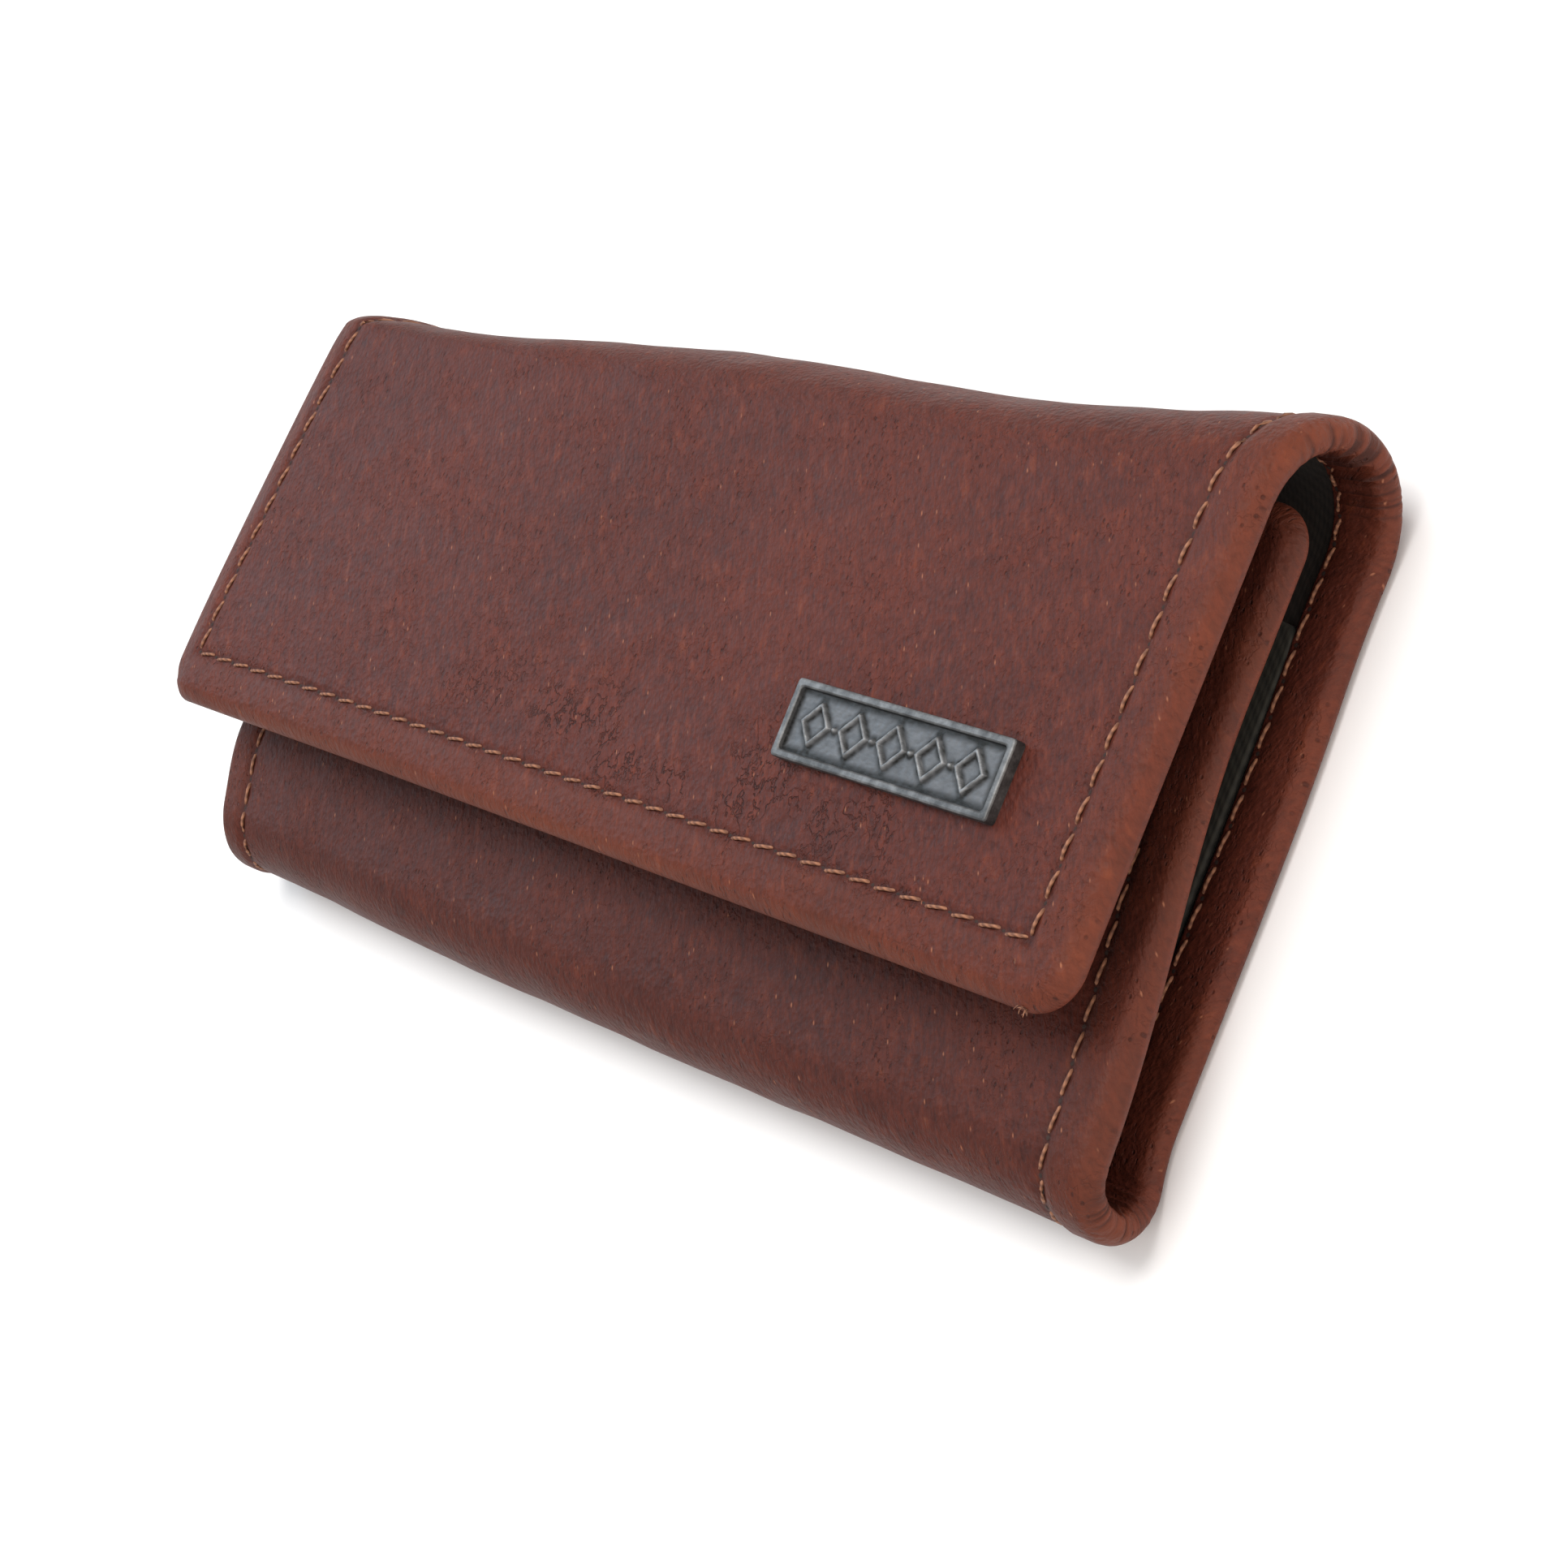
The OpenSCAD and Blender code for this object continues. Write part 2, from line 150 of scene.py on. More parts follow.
class Finish:
    # one material: a Principled shader, and a method that adds any node
    def __init__(self, name):
        self.material = bpy.data.materials.new(name)
        self.material.use_nodes = True
        self.tree = self.material.node_tree
        self.skin = self.tree.nodes["Principled BSDF"]

    def feed(self, socket, value):
        if isinstance(value, Wire):
            self.tree.links.new(value.socket, socket)
        elif hasattr(value, "__len__") and len(value) == 3 and socket.type == "RGBA":
            socket.default_value = (*value, 1)
        else:
            socket.default_value = value

    def node(self, kind, settings, inputs, out=0):
        made = self.tree.nodes.new(kind)
        for key, value in settings.items():
            setattr(made, key, value)
        for key, value in inputs.items():
            self.feed(made.inputs[key], value)
        return Wire(self, made.outputs[out])

    def surface(self, **values):
        for key, value in values.items():
            self.feed(self.skin.inputs[key.replace("_", " ")], value)
        return self.material

    def place(self, layer=None):
        if layer:
            return self.node("ShaderNodeUVMap", {"uv_map": layer}, {})
        return self.node("ShaderNodeTexCoord", {}, {}, "Object")

    def stretch(self, vector, scale):
        return self.node("ShaderNodeVectorMath", {"operation": "MULTIPLY"}, {0: vector, 1: scale})

    def noise(self, vector, scale, detail=3.0, rough=0.5):
        return self.node("ShaderNodeTexNoise", {},
                         {"Vector": vector, "Scale": scale, "Detail": detail, "Roughness": rough})

    def cells(self, vector, scale):
        return self.node("ShaderNodeTexVoronoi", {}, {"Vector": vector, "Scale": scale})

    def mix(self, factor, a, b):
        return self.node("ShaderNodeMix", {"data_type": "RGBA"}, {0: factor, 6: a, 7: b}, 2)

    def bump(self, height, depth, strength):
        return self.node("ShaderNodeBump", {}, {"Height": height, "Distance": depth, "Strength": strength})

    def attribute(self, name):
        return self.node("ShaderNodeAttribute", {"attribute_name": name}, {}, "Fac")


# finishes

hide = {
    "deep": (0.044, 0.0105, 0.0080),
    "middle": (0.113, 0.0245, 0.0145),
    "pulled": (0.165, 0.041, 0.017),  # where the oil is stretched out of it
    "speck": (0.42, 0.17, 0.09),
    "pit": (0.012, 0.004, 0.004),
    "rough": 0.55,
}


def leatherFinish(name, layer="sheet", tone=1.0):
    f = Finish(name)
    at = f.place(layer)  # in metres along the hide when a layer is named
    turned = f.node("ShaderNodeVectorRotate", {"rotation_type": "Z_AXIS"}, {"Vector": at, "Angle": 0.45})
    long = f.stretch(turned, (1.0, 0.34, 1.0))  # the grain runs aslant from fold to fold
    cloud = f.noise(at, 24, 4, 0.55)
    patch = f.noise(at, 95, 5, 0.6)
    fibre = f.noise(long, 2100, 3, 0.6)
    streak = f.noise(long, 700, 3, 0.65)
    grain = f.cells(at, 1250)
    wrinkle = f.noise(f.stretch(at, (0.6, 1.0, 1.0)), 330, 4, 0.65)
    pit = 1.0 - f.cells(f.stretch(at, (1.0, 0.6, 1.0)), 1150).between(0.07, 0.26)
    pit = pit * patch.between(0.42, 0.58)
    speck = (1.0 - f.cells(long, 820).between(0.03, 0.13)) * f.noise(at, 500, 2).between(0.42, 0.56)
    # thin lines where the noise crosses its middle
    vein = f.noise(f.stretch(at, (1.0, 0.7, 1.0)), 430, 3, 0.6) - 0.5
    vein = 1.0 - vein.size().between(0.003, 0.028)
    blend = (cloud * 0.8 + patch * 0.7 + fibre * 1.7 + streak * 1.3 - 1.75).clip()
    colour = f.mix(blend, [c * tone for c in hide["deep"]], [c * tone for c in hide["middle"]])
    colour = f.mix(streak.between(0.56, 0.82) * 0.6, colour, [c * tone for c in hide["pulled"]])
    if layer:
        pull = (f.attribute("pull") * (0.62 + patch * 0.4 + fibre * 0.35 - 0.15)).clip()
        colour = f.mix(pull, colour, [c * tone for c in hide["pulled"]])
        # painted shade: the dark mark darkens the stitch groove, the pucker valleys and the front panel
        colour = f.mix(f.attribute("dark"), colour, (0.016, 0.006, 0.005))
        vein = vein * patch.between(0.42, 0.6) * (f.attribute("crinkle") * 1.0 + 0.18)
    else:
        vein = vein * 0.15
    colour = f.mix(vein * 0.55, colour, hide["pit"])
    colour = f.mix(speck * 0.55, colour, hide["speck"])
    colour = f.mix(pit * 0.5, colour, hide["pit"])
    height = grain * 0.45 + fibre * 0.6 + streak * 0.5 + wrinkle * 0.9 - pit * 0.7 - vein * 1.3
    rough = hide["rough"] + (patch - 0.5) * 0.22 + (fibre - 0.5) * 0.18
    return f.surface(Base_Color=colour, Roughness=rough, Specular_IOR_Level=0.17,
                     Normal=f.bump(height, 0.00030, 0.8))


thread = {
    "dark": (0.10, 0.036, 0.020),
    "light": (0.36, 0.155, 0.080),
    "radius": 0.24 * mm,
    "thin": 0.2 * mm,  # on the flat inner parts
    "hole": 0.30 * mm,
}


def threadFinish():
    f = Finish("thread")
    at = f.place()
    twist = f.node("ShaderNodeTexWave", {"wave_type": "BANDS", "bands_direction": "DIAGONAL"},
                   {"Vector": at, "Scale": 520, "Distortion": 1.5})
    fuzz = f.noise(at, 1800, 2)
    colour = f.mix(twist * 0.6 + fuzz * 0.4, thread["dark"], thread["light"])
    return f.surface(Base_Color=colour, Roughness=0.62 + fuzz * 0.1, Normal=f.bump(twist, 0.00012, 0.7))


def holeShadeFinish():
    # painted shade: a dark colour for the dot that stands for the shaded inside of each hole the needle made
    f = Finish("needle hole shade")
    at = f.place()
    colour = f.mix(f.noise(at, 900), (0.012, 0.005, 0.004), (0.035, 0.014, 0.009))
    return f.surface(Base_Color=colour, Roughness=0.85)


def clothFinish(name, dark, light, layer="sheet", ribs=2100):
    f = Finish(name)
    at = f.place(layer)
    warp = f.node("ShaderNodeTexWave", {"wave_type": "BANDS", "bands_direction": "DIAGONAL"},
                  {"Vector": at, "Scale": ribs / 6.28, "Distortion": 0.4, "Detail": 1.0})
    weft = f.node("ShaderNodeTexWave", {"wave_type": "BANDS", "bands_direction": "X"},
                  {"Vector": at, "Scale": ribs / 4.5})
    slub = f.noise(at, 130, 4)
    weave = warp * 0.65 + weft * 0.35
    colour = f.mix((weave * 0.7 + slub * 0.45).clip(), dark, light)
    return f.surface(Base_Color=colour, Roughness=0.72 + slub * 0.12, Sheen_Weight=0.06,
                     Normal=f.bump(weave, 0.00012, 0.6))


def metalFinish(name, dark, light, rough):
    f = Finish(name)
    at = f.place()
    cloud = f.noise(at, 160, 5, 0.65)
    scratch = f.noise(f.stretch(at, (1.0, 14.0, 1.0)), 900, 2)
    colour = f.mix((cloud * 0.7 + scratch * 0.42 - 0.15).clip(), dark, light)
    return f.surface(Base_Color=colour, Metallic=1.0, Roughness=rough + cloud * 0.18,
                     Normal=f.bump(scratch + cloud, 0.00004, 0.5))


def pewterFinish():
    f = Finish("antique pewter")
    at = f.place()
    cloud = f.noise(at, 420, 5, 0.7)
    brushed = f.noise(f.stretch(at, (0.35, 1.0, 1.0)), 1500, 4, 0.7)
    worn = f.mix((brushed * 0.7 + cloud * 0.7 - 0.25).clip(), (0.055, 0.057, 0.061), (0.21, 0.215, 0.225))
    bright = f.mix(cloud.between(0.3, 0.75), (0.10, 0.102, 0.105), (0.32, 0.325, 0.33))
    colour = f.mix(f.attribute("proud"), worn, bright)
    soot = (f.attribute("soot") * (0.55 + brushed * 1.1 - 0.2)).clip()
    colour = f.mix(soot, colour, (0.014, 0.014, 0.013))
    return f.surface(Base_Color=colour, Metallic=0.75, Roughness=0.42 + cloud * 0.2,
                     Normal=f.bump(brushed * 0.8 + cloud * 0.4, 0.00008, 0.5))


def boardFinish():
    f = Finish("fibre board")
    fleck = f.noise(f.place(), 900, 4, 0.7)
    colour = f.mix(fleck, (0.20, 0.17, 0.13), (0.36, 0.32, 0.26))
    return f.surface(Base_Color=colour, Roughness=0.9, Normal=f.bump(fleck, 0.0001, 0.4))


def filmFinish():
    f = Finish("clear film")
    haze = f.noise(f.place(), 60, 3)
    colour = f.mix(haze, (0.80, 0.83, 0.85), (0.9, 0.92, 0.94))
    return f.surface(Base_Color=colour, Roughness=0.12 + haze * 0.1, Alpha=0.25 + haze * 0.1)


hideMat = leatherFinish("oiled leather")
innerHideMat = leatherFinish("inner leather", None, 0.9)
threadMat = threadFinish()
holeShadeMat = holeShadeFinish()
liningMat = clothFinish("twill lining", (0.008, 0.006, 0.005), (0.030, 0.022, 0.017))
innerClothMat = clothFinish("pocket cloth", (0.008, 0.008, 0.006), (0.032, 0.030, 0.022), None)
tapeMat = clothFinish("zip tape", (0.012, 0.011, 0.009), (0.045, 0.042, 0.034), None, 3000)
nickelMat = metalFinish("nickel", (0.30, 0.29, 0.27), (0.72, 0.70, 0.66), 0.18)
pewterMat = pewterFinish()
boardMat = boardFinish()
filmMat = filmFinish()
print("finishes")


# sizes taken from the frame

flapLow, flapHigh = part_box("flap_leather")
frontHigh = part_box("front_leather")[1]
halfLength = flapHigh.x
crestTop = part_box("top_fold_leather")[1].y
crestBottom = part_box("bottom_fold_leather")[0].y
topR = flapHigh.z / 2
bottomR = frontHigh.z / 2
topY = crestTop - topR
bottomY = crestBottom + bottomR

shell = {
    "edge": 3.6 * mm,  # thickness of the turned edge
    "panel": 2.6 * mm,  # thickness inside the turned edge
    "hem": 8.6 * mm,  # width of the turned edge
    "corner": 6.0 * mm,
    "stitchIn": 7.4 * mm,
    "stitchPitch": 4.35 * mm,
    "cell": 1.15 * mm,
    "foldCell": 0.42 * mm,
    "puff": 0.40 * mm,
    "sway": 0.45 * mm,
    "pucker": 1.15 * mm,
}

# lengths along the outer face, from the front panel's free edge to the flap's
runs = np.cumsum([0.0, frontHigh.y - bottomY, math.pi * bottomR, topY - bottomY,
                  math.pi * topR, topY - flapLow.y])
cuts = {"bottomCrest": (runs[1] + runs[2]) / 2, "midBack": (runs[2] + runs[3]) / 2,
        "topCrest": (runs[3] + runs[4]) / 2}


def lattice(u, v, seed):
    # smooth noise between -1 and 1 on a fixed table of random numbers
    table = np.random.default_rng(seed).uniform(-1, 1, (97, 97))
    i, j = np.floor(u).astype(int), np.floor(v).astype(int)
    fu, fv = u - i, v - j
    fu, fv = fu * fu * (3 - 2 * fu), fv * fv * (3 - 2 * fv)
    t = lambda a, b: table[a % 97, b % 97]
    low = t(i, j) * (1 - fu) + t(i + 1, j) * fu
    high = t(i, j + 1) * (1 - fu) + t(i + 1, j + 1) * fu
    return low * (1 - fv) + high * fv


def step(x, low, high):
    t = np.clip((x - low) / (high - low), 0, 1)
    return t * t * (3 - 2 * t)


def bell(x, middle, width):
    return np.exp(-((x - middle) / width) ** 2)


slump = {  # how far the soft leather has moved, in millimetres
    "topMiddle": 3.8, "topLeft": 5.4, "topRight": 0.4, "bottomMiddle": 0.4, "bottomLeft": 0.8,
    "rightFoot": 5.8, "rightFront": 2.5, "rightBack": 1.0, "rightCorner": 0.3,
    "leftFront": 4.2, "leftFoot": 4.8, "leftFlap": 3.2, "leftFold": 4.0, "leftCrest": 4.5,
    "flapDown": 0.3, "frontClear": 4.8, "foldDown": 3.2, "edgeDown": 1.8,
}


def sag(x):
    # how far each fold has sunk between its ends: top, bottom
    u = x / halfLength
    top = slump["topMiddle"] * (1 - step(u, 0.4, 1.0)) - slump["topRight"] * step(u, 0.75, 1.0)
    top = top + slump["topLeft"] * step(-u, -0.1, 0.8)
    bottom = slump["bottomLeft"] * step(-u, 0.2, 0.8) - slump["bottomMiddle"] * bell(u, 0.1, 0.4)
    return top * mm, bottom * mm


def shift(x, s):
    # how far the soft ends have moved from their plain places, in X, Y and Z
    u = x / halfLength
    crestAt, turnAt = cuts["topCrest"], runs[4]
    right, left = step(u, 0.25, 1.0), step(-u, 0.4, 1.0)
    ahead = 1 - step(s, cuts["bottomCrest"], runs[2] + 6 * mm)
    low = step(s, 0.3 * runs[1], 1.04 * runs[1])
    front = 1 - step(s, runs[1], runs[2] + 20 * mm)
    foot = step(s, 0.85 * runs[1], 1.08 * runs[1])
    shoulder = bell(s, runs[3] - 4 * mm, 16 * mm)
    crest = slump["leftFold"] * bell(s, crestAt + 4 * mm, 26 * mm)
    crest = crest + slump["leftCrest"] * bell(s, crestAt + 2 * mm, 14 * mm)
    flap = step(s, turnAt + 4 * mm, runs[5])
    dx = right * (ahead * (slump["rightFoot"] * low - slump["rightFront"]) - slump["rightBack"] * shoulder
                  + slump["rightCorner"] * bell(s, crestAt, 12 * mm))
    dx = dx + left * (front * (slump["leftFront"] + slump["leftFoot"] * foot)
                      - slump["leftFlap"] * flap + crest)
    # the front panel's free edge stays clear of the sunk top fold
    dy = -slump["frontClear"] * step(-u, -0.1, 0.8) * (1 - step(s, 0, 42 * mm))
    dy = dy - slump["flapDown"] * left * flap
    sunk = step(s, runs[3] + 8 * mm, crestAt) * (1 - step(s, crestAt + 5 * mm, turnAt + 4.5 * mm))
    roll = step(-x, halfLength - 8.5 * mm, halfLength + 1 * mm) * step(s, crestAt, turnAt + 6 * mm)
    dz = -slump["foldDown"] * step(-u, 0.3, 1.0) * sunk - slump["edgeDown"] * roll
    return np.stack([dx, dy, dz], -1) * mm


def profile(s, x):
    # outer face in Y and Z with its outward normal, s along the fold path
    s = np.asarray(s, float)
    pieces = [s < runs[1], s < runs[2], s < runs[3], s < runs[4], s >= runs[4]]
    b = np.clip((s - runs[1]) / bottomR, 0, math.pi)
    t = np.clip((s - runs[3]) / topR, 0, math.pi)
    topSag, bottomSag = sag(x)
    topHalf, bottomHalf = topR - topSag, bottomR - bottomSag
    y = np.select(pieces, [bottomY + runs[1] - s, bottomY - bottomHalf * np.sin(b), bottomY + s - runs[2],
                           topY + topHalf * np.sin(t), topY - (s - runs[4])])
    z = np.select(pieces, [2 * bottomR + 0 * s, bottomR + bottomR * np.cos(b), 0 * s,
                           topR - topR * np.cos(t), 2 * topR + 0 * s])
    ny = np.select(pieces, [0 * s, -np.sin(b) / bottomHalf, 0 * s, np.sin(t) / topHalf, 0 * s])
    nz = np.select(pieces, [1 + 0 * s, np.cos(b) / bottomR, -1 + 0 * s, -np.cos(t) / topR, 1 + 0 * s])
    length = np.hypot(ny, nz)
    return y, z, ny / length, nz / length


def bent(s):
    # 1 in the middle of a fold and 0 on the flat panels
    inBottom = bell(s, cuts["bottomCrest"], bottomR * 1.1)
    inTop = bell(s, cuts["topCrest"], topR * 1.1)
    return np.maximum(inBottom, inTop)


def rounded(x, s):
    # turns the square corners of the flap and the front panel into round ones
    r = shell["corner"]
    a = (np.abs(x) - (halfLength - r)) / r
    outX, outS = x.copy(), s.copy()
    for end, way in ((runs[5], 1), (0.0, -1)):
        b = (way * (s - end) + r) / r
        here = (a > 0) & (b > 0)
        scale = np.maximum(a, b) / np.maximum(np.hypot(a, b), 1e-9)
        outX = np.where(here, np.sign(x) * (halfLength - r + a * scale * r), outX)
        outS = np.where(here, end + way * (b * scale - 1) * r, outS)
    return outX, outS


def inset(x, s):
    return np.minimum(halfLength - np.abs(x), np.minimum(s, runs[5] - s))


def crinkled(x, s):
    # 1 where the flap is creased, above its stitch row and left of the plate
    above = runs[5] - s
    return bell(above, 14 * mm, 6.0 * mm) * step(x, -50 * mm, 10 * mm) * (1 - step(x, 45 * mm, 80 * mm))


def crush(x, s):
    # radial folds where the turned edge is squeezed inside a loop
    ridge = 1 - np.abs(lattice(x / (30 * mm) + 2, s / (0.95 * mm), 17))
    return bent(s) * (ridge ** 2 - 0.30)


def swell(x, s, e):
    # how far the outer face stands off its plain shape
    puff = shell["puff"] * step(e, 0.2 * mm, 2.2 * mm) * (1 - step(e, 5.4 * mm, 7.6 * mm))
    beat = 0.75 + 0.25 * np.cos(2 * math.pi * (s + x) / shell["stitchPitch"])
    groove = -0.34 * mm * bell(e, shell["stitchIn"], 0.8 * mm) * beat
    slow = shell["sway"] * lattice(x / (48 * mm) + 9, s / (34 * mm) + 5, 3)
    fast = 0.13 * mm * lattice(x / (8 * mm) + 3, s / (6 * mm) + 1, 7)
    folds = np.maximum(0, lattice((x + 0.5 * s) / (2.8 * mm), (s - 0.3 * x) / (5.5 * mm), 11)) ** 1.5
    crowd = -0.06 * mm * bent(s) * np.abs(lattice(x / (14 * mm), s / (1.7 * mm), 13))
    wrinkle = 0.30 * mm * crinkled(x, s) * folds
    return puff + groove + slow + fast * step(e, 2 * mm, 10 * mm) - wrinkle + crowd


def under(x, s, depth):
    # points this far below the outer face
    y, z, ny, nz = profile(s, x)
    return np.stack([x, y - ny * depth, z - nz * depth], -1) + shift(x, s)


def leatherPoint(x, s, side, lift=0.0):
    # side 0 is the outer face, 1 the inner; lift moves the point off the surface
    e = inset(x, s)
    rx, rs = rounded(x, s)
    y, z, ny, nz = profile(rs, x)
    r = shell["edge"] / 2
    ease = r - np.sqrt(np.maximum(r * r - np.maximum(r - e, 0) ** 2, 0))
    squeeze = shell["pucker"] * crush(x, s)
    if side == 0:
        depth = ease - swell(x, s, e) * step(e, 0, 2.4 * mm) - lift
        inward = 0.3 * squeeze * (1 - step(e, 0, 1.1 * mm))
    else:
        fall = step(e, shell["hem"] - 0.5 * mm, shell["hem"] + 0.1 * mm)
        fall = fall * (shell["edge"] - shell["panel"] + 0.3 * mm)
        tight = step(e, 0.2 * mm, 1.8 * mm) * (1 - step(e, shell["hem"] - 2.5 * mm, shell["hem"]))
        groove = -0.25 * mm * bell(e, shell["stitchIn"], 0.7 * mm)
        depth = shell["edge"] - ease - fall + squeeze * tight + groove * step(e, 0, 3 * mm) + lift
        inward = squeeze * (0.3 + 0.7 * step(e, 0, 1.2 * mm)) * (1 - step(e, 2.0 * mm, 4.0 * mm))
    out = np.stack([rx - np.sign(x) * inward, y - ny * depth, z - nz * depth], -1) + shift(x, s)
    out[..., 2] = np.maximum(out[..., 2], 0.0)
    return out


def addPiece(name, verts, faces, materials, uv=None, marks=None, matIndex=None, smooth=True):
    mesh = bpy.data.meshes.new(name)
    mesh.from_pydata([tuple(v) for v in verts], [], faces)
    for m in materials:
        mesh.materials.append(m)
    if uv is not None:
        layer = mesh.uv_layers.new(name="sheet")
        index = np.empty(len(mesh.loops), int)
        mesh.loops.foreach_get("vertex_index", index)
        layer.data.foreach_set("uv", np.asarray(uv, np.float32)[index].ravel())
    for key, values in (marks or {}).items():
        mark(mesh, key, values)
    if matIndex is not None:
        mesh.polygons.foreach_set("material_index", matIndex)
    mesh.polygons.foreach_set("use_smooth", [smooth] * len(mesh.polygons))
    mesh.update()
    piece = put(name, mesh)
    return piece


def mark(mesh, name, values):
    layer = mesh.attributes.new(name, "FLOAT", "POINT")
    layer.data.foreach_set("value", np.asarray(values, np.float32))


def settle(piece, node, body):
    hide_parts(node)
    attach(piece, body)


def skin(bm, rings):
    # side faces from each ring of points to the next
    for a, b in zip(rings, rings[1:]):
        for k in range(len(a)):
            n = (k + 1) % len(a)
            bm.faces.new((a[k], a[n], b[n], b[k]))


def solid(bm, rings):
    skin(bm, rings)
    bm.faces.new(list(reversed(rings[0])))
    bm.faces.new(rings[-1])


def gridFaces(rows, cols, base, flip):
    i, j = np.meshgrid(np.arange(rows - 1), np.arange(cols - 1), indexing="ij")
    a = base + (i * cols + j).ravel()
    q = np.stack([a, a + 1, a + cols + 1, a + cols], 1)
    return (q[:, ::-1] if flip else q).tolist()


# leather shell

def edgeLines():
    # distances from an edge where the mesh needs a line
    r = shell["edge"] / 2
    roll = [r * (1 - math.cos(math.radians(a))) for a in (0, 12, 24, 38, 52, 66, 78, 90)]
    hem = [v * mm for v in (2.6, 3.6, 4.6, 5.5, 6.2, 6.7, 7.1, 7.4, 7.7, 8.0, 8.3, 8.5, 8.75, 9.4)]
    return roll + hem


def spread(low, high, cell=shell["cell"]):
    count = max(2, int(round((high - low) / cell)))
    return list(np.linspace(low, high, count + 1))


def across():
    lines = edgeLines()
    inner = halfLength - lines[-1]
    middle = spread(-inner, inner)[1:-1]
    return np.array([-halfLength + e for e in lines] + middle + [halfLength - e for e in reversed(lines)])


def along(start, end):
    edge = edgeLines()
    low = list(edge) if start == 0 else [start]
    high = [end - e for e in reversed(edge)] if end == runs[5] else [end]
    stops = [low[-1]] + [r for r in runs[1:5] if low[-1] < r < high[0]] + [high[0]]
    middle = []
    for a, b in zip(stops, stops[1:]):
        folded = runs[1] <= (a + b) / 2 <= runs[2] or runs[3] <= (a + b) / 2 <= runs[4]
        middle += spread(a, b, shell["foldCell"] if folded else shell["cell"])[:-1]
    return np.array(low[:-1] + middle + high)


shellParts = {  # piece: path from, path to, the two bodies it spans, nodes it stands for
    "leather_front": (0.0, cuts["bottomCrest"], ("bottom_fold", "front"), ["front_leather"]),
    "leather_back_low": (cuts["bottomCrest"], cuts["midBack"], ("back", "bottom_fold"),
                         ["back_leather", "bottom_fold_leather"]),
    "leather_back_top": (cuts["midBack"], cuts["topCrest"], ("back", "top_fold"),
                         ["back_leather", "top_fold_leather"]),
    "leather_flap": (cuts["topCrest"], runs[5], ("top_fold", "flap"), ["flap_leather"]),
}


def crease(bodies):
    # start and end of the bend between two bodies, from the first to the second
    inner = shell["edge"]
    top = "top_fold" in bodies
    r = topR if top else bottomR
    reach = (2 * r - inner) / 2
    y, side = (topY, 1) if top else (bottomY, -1)
    faceZ = 0.0 if "back" in bodies else 2 * r
    way = 1 if "back" in bodies else -1
    panel = Vector((0, y, faceZ))
    near = 0.48 if top else 1.0  # the top fold has sunk, so its bend ends sooner
    fold = panel + Vector((0, side * reach * near, way * reach * near))
    panelFirst = bodies[0] in ("back", "flap", "front")
    return (panel, fold) if panelFirst else (fold, panel)


def bendOver(piece, bodies):
    start, end = crease(bodies)
    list(bodies)
    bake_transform(piece)
    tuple(start)
    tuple(end)


def wear(x, s, e, side):
    edge = 1 - step(e, 0.5 * mm, 3.2 * mm)
    band = 0.22 * (1 - step(e, 5.5 * mm, 7.6 * mm))
    fold = 0.16 * bent(s)
    patches = 0.5 + 0.5 * lattice(x / (13 * mm), s / (9 * mm), 23)
    worn = np.clip((edge * 0.42 + band + fold) * (0.45 + 0.55 * patches), 0, 1)
    return worn * (1.0 if side == 0 else 0.8)


def paintedShade(x, s, e, side):
    # painted shade: a dark line in the groove beside the thread, and darkening in the pucker valleys
    line = 0.35 * bell(e, shell["stitchIn"], 0.45 * mm)
    valleyShade = np.clip(crush(x, s) * 2.6, 0, 1)
    if side == 0:
        # painted shade: on the outer face the whole front panel is also made darker
        return line + 0.5 * valleyShade * (1 - step(e, 0, 1.6 * mm)) + 0.24 * (1 - step(s, runs[1], runs[2]))
    return line * 0.6 + 0.7 * valleyShade * (1 - step(e, 5 * mm, 8 * mm))


def makeShell():
    xs = across()
    for name, (s0, s1, bodies, nodes) in shellParts.items():
        x, s = np.meshgrid(xs, along(s0, s1))
        e = inset(x, s)
        rows, cols = x.shape
        outer = leatherPoint(x, s, 0).reshape(-1, 3)
        inner = leatherPoint(x, s, 1).reshape(-1, 3)
        faces = gridFaces(rows, cols, 0, False) + gridFaces(rows, cols, rows * cols, True)
        uv = np.stack([x.ravel(), s.ravel()], 1)
        uv = np.vstack([uv, uv + 0.5])
        marks = {"pull": np.append(wear(x, s, e, 0), wear(x, s, e, 1)),
                 # painted shade for the stitch groove, pucker valleys and front panel
                 "dark": np.append(paintedShade(x, s, e, 0), paintedShade(x, s, e, 1)),
                 "crinkle": np.append(crinkled(x, s), 0 * x)}
        piece = addPiece(name, np.vstack([outer, inner]), faces, [hideMat], uv, marks)
        weld(piece)
        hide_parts(*nodes)
        bendOver(piece, bodies)
    print("leather shell")


def weld(piece, reach=0.00002):
    bm = bmesh.new()
    bm.from_mesh(piece.data)
    bmesh.ops.remove_doubles(bm, verts=bm.verts, dist=reach)
    bmesh.ops.recalc_face_normals(bm, faces=bm.faces)
    bmesh.ops.delete(bm, geom=[v for v in bm.verts if not v.link_faces], context="VERTS")
    bm.to_mesh(piece.data)
    bm.free()


# lining

lining = {"in": 7.9 * mm, "wave": 0.08 * mm, "fold": 0.20 * mm}  # it starts just under the turned edge


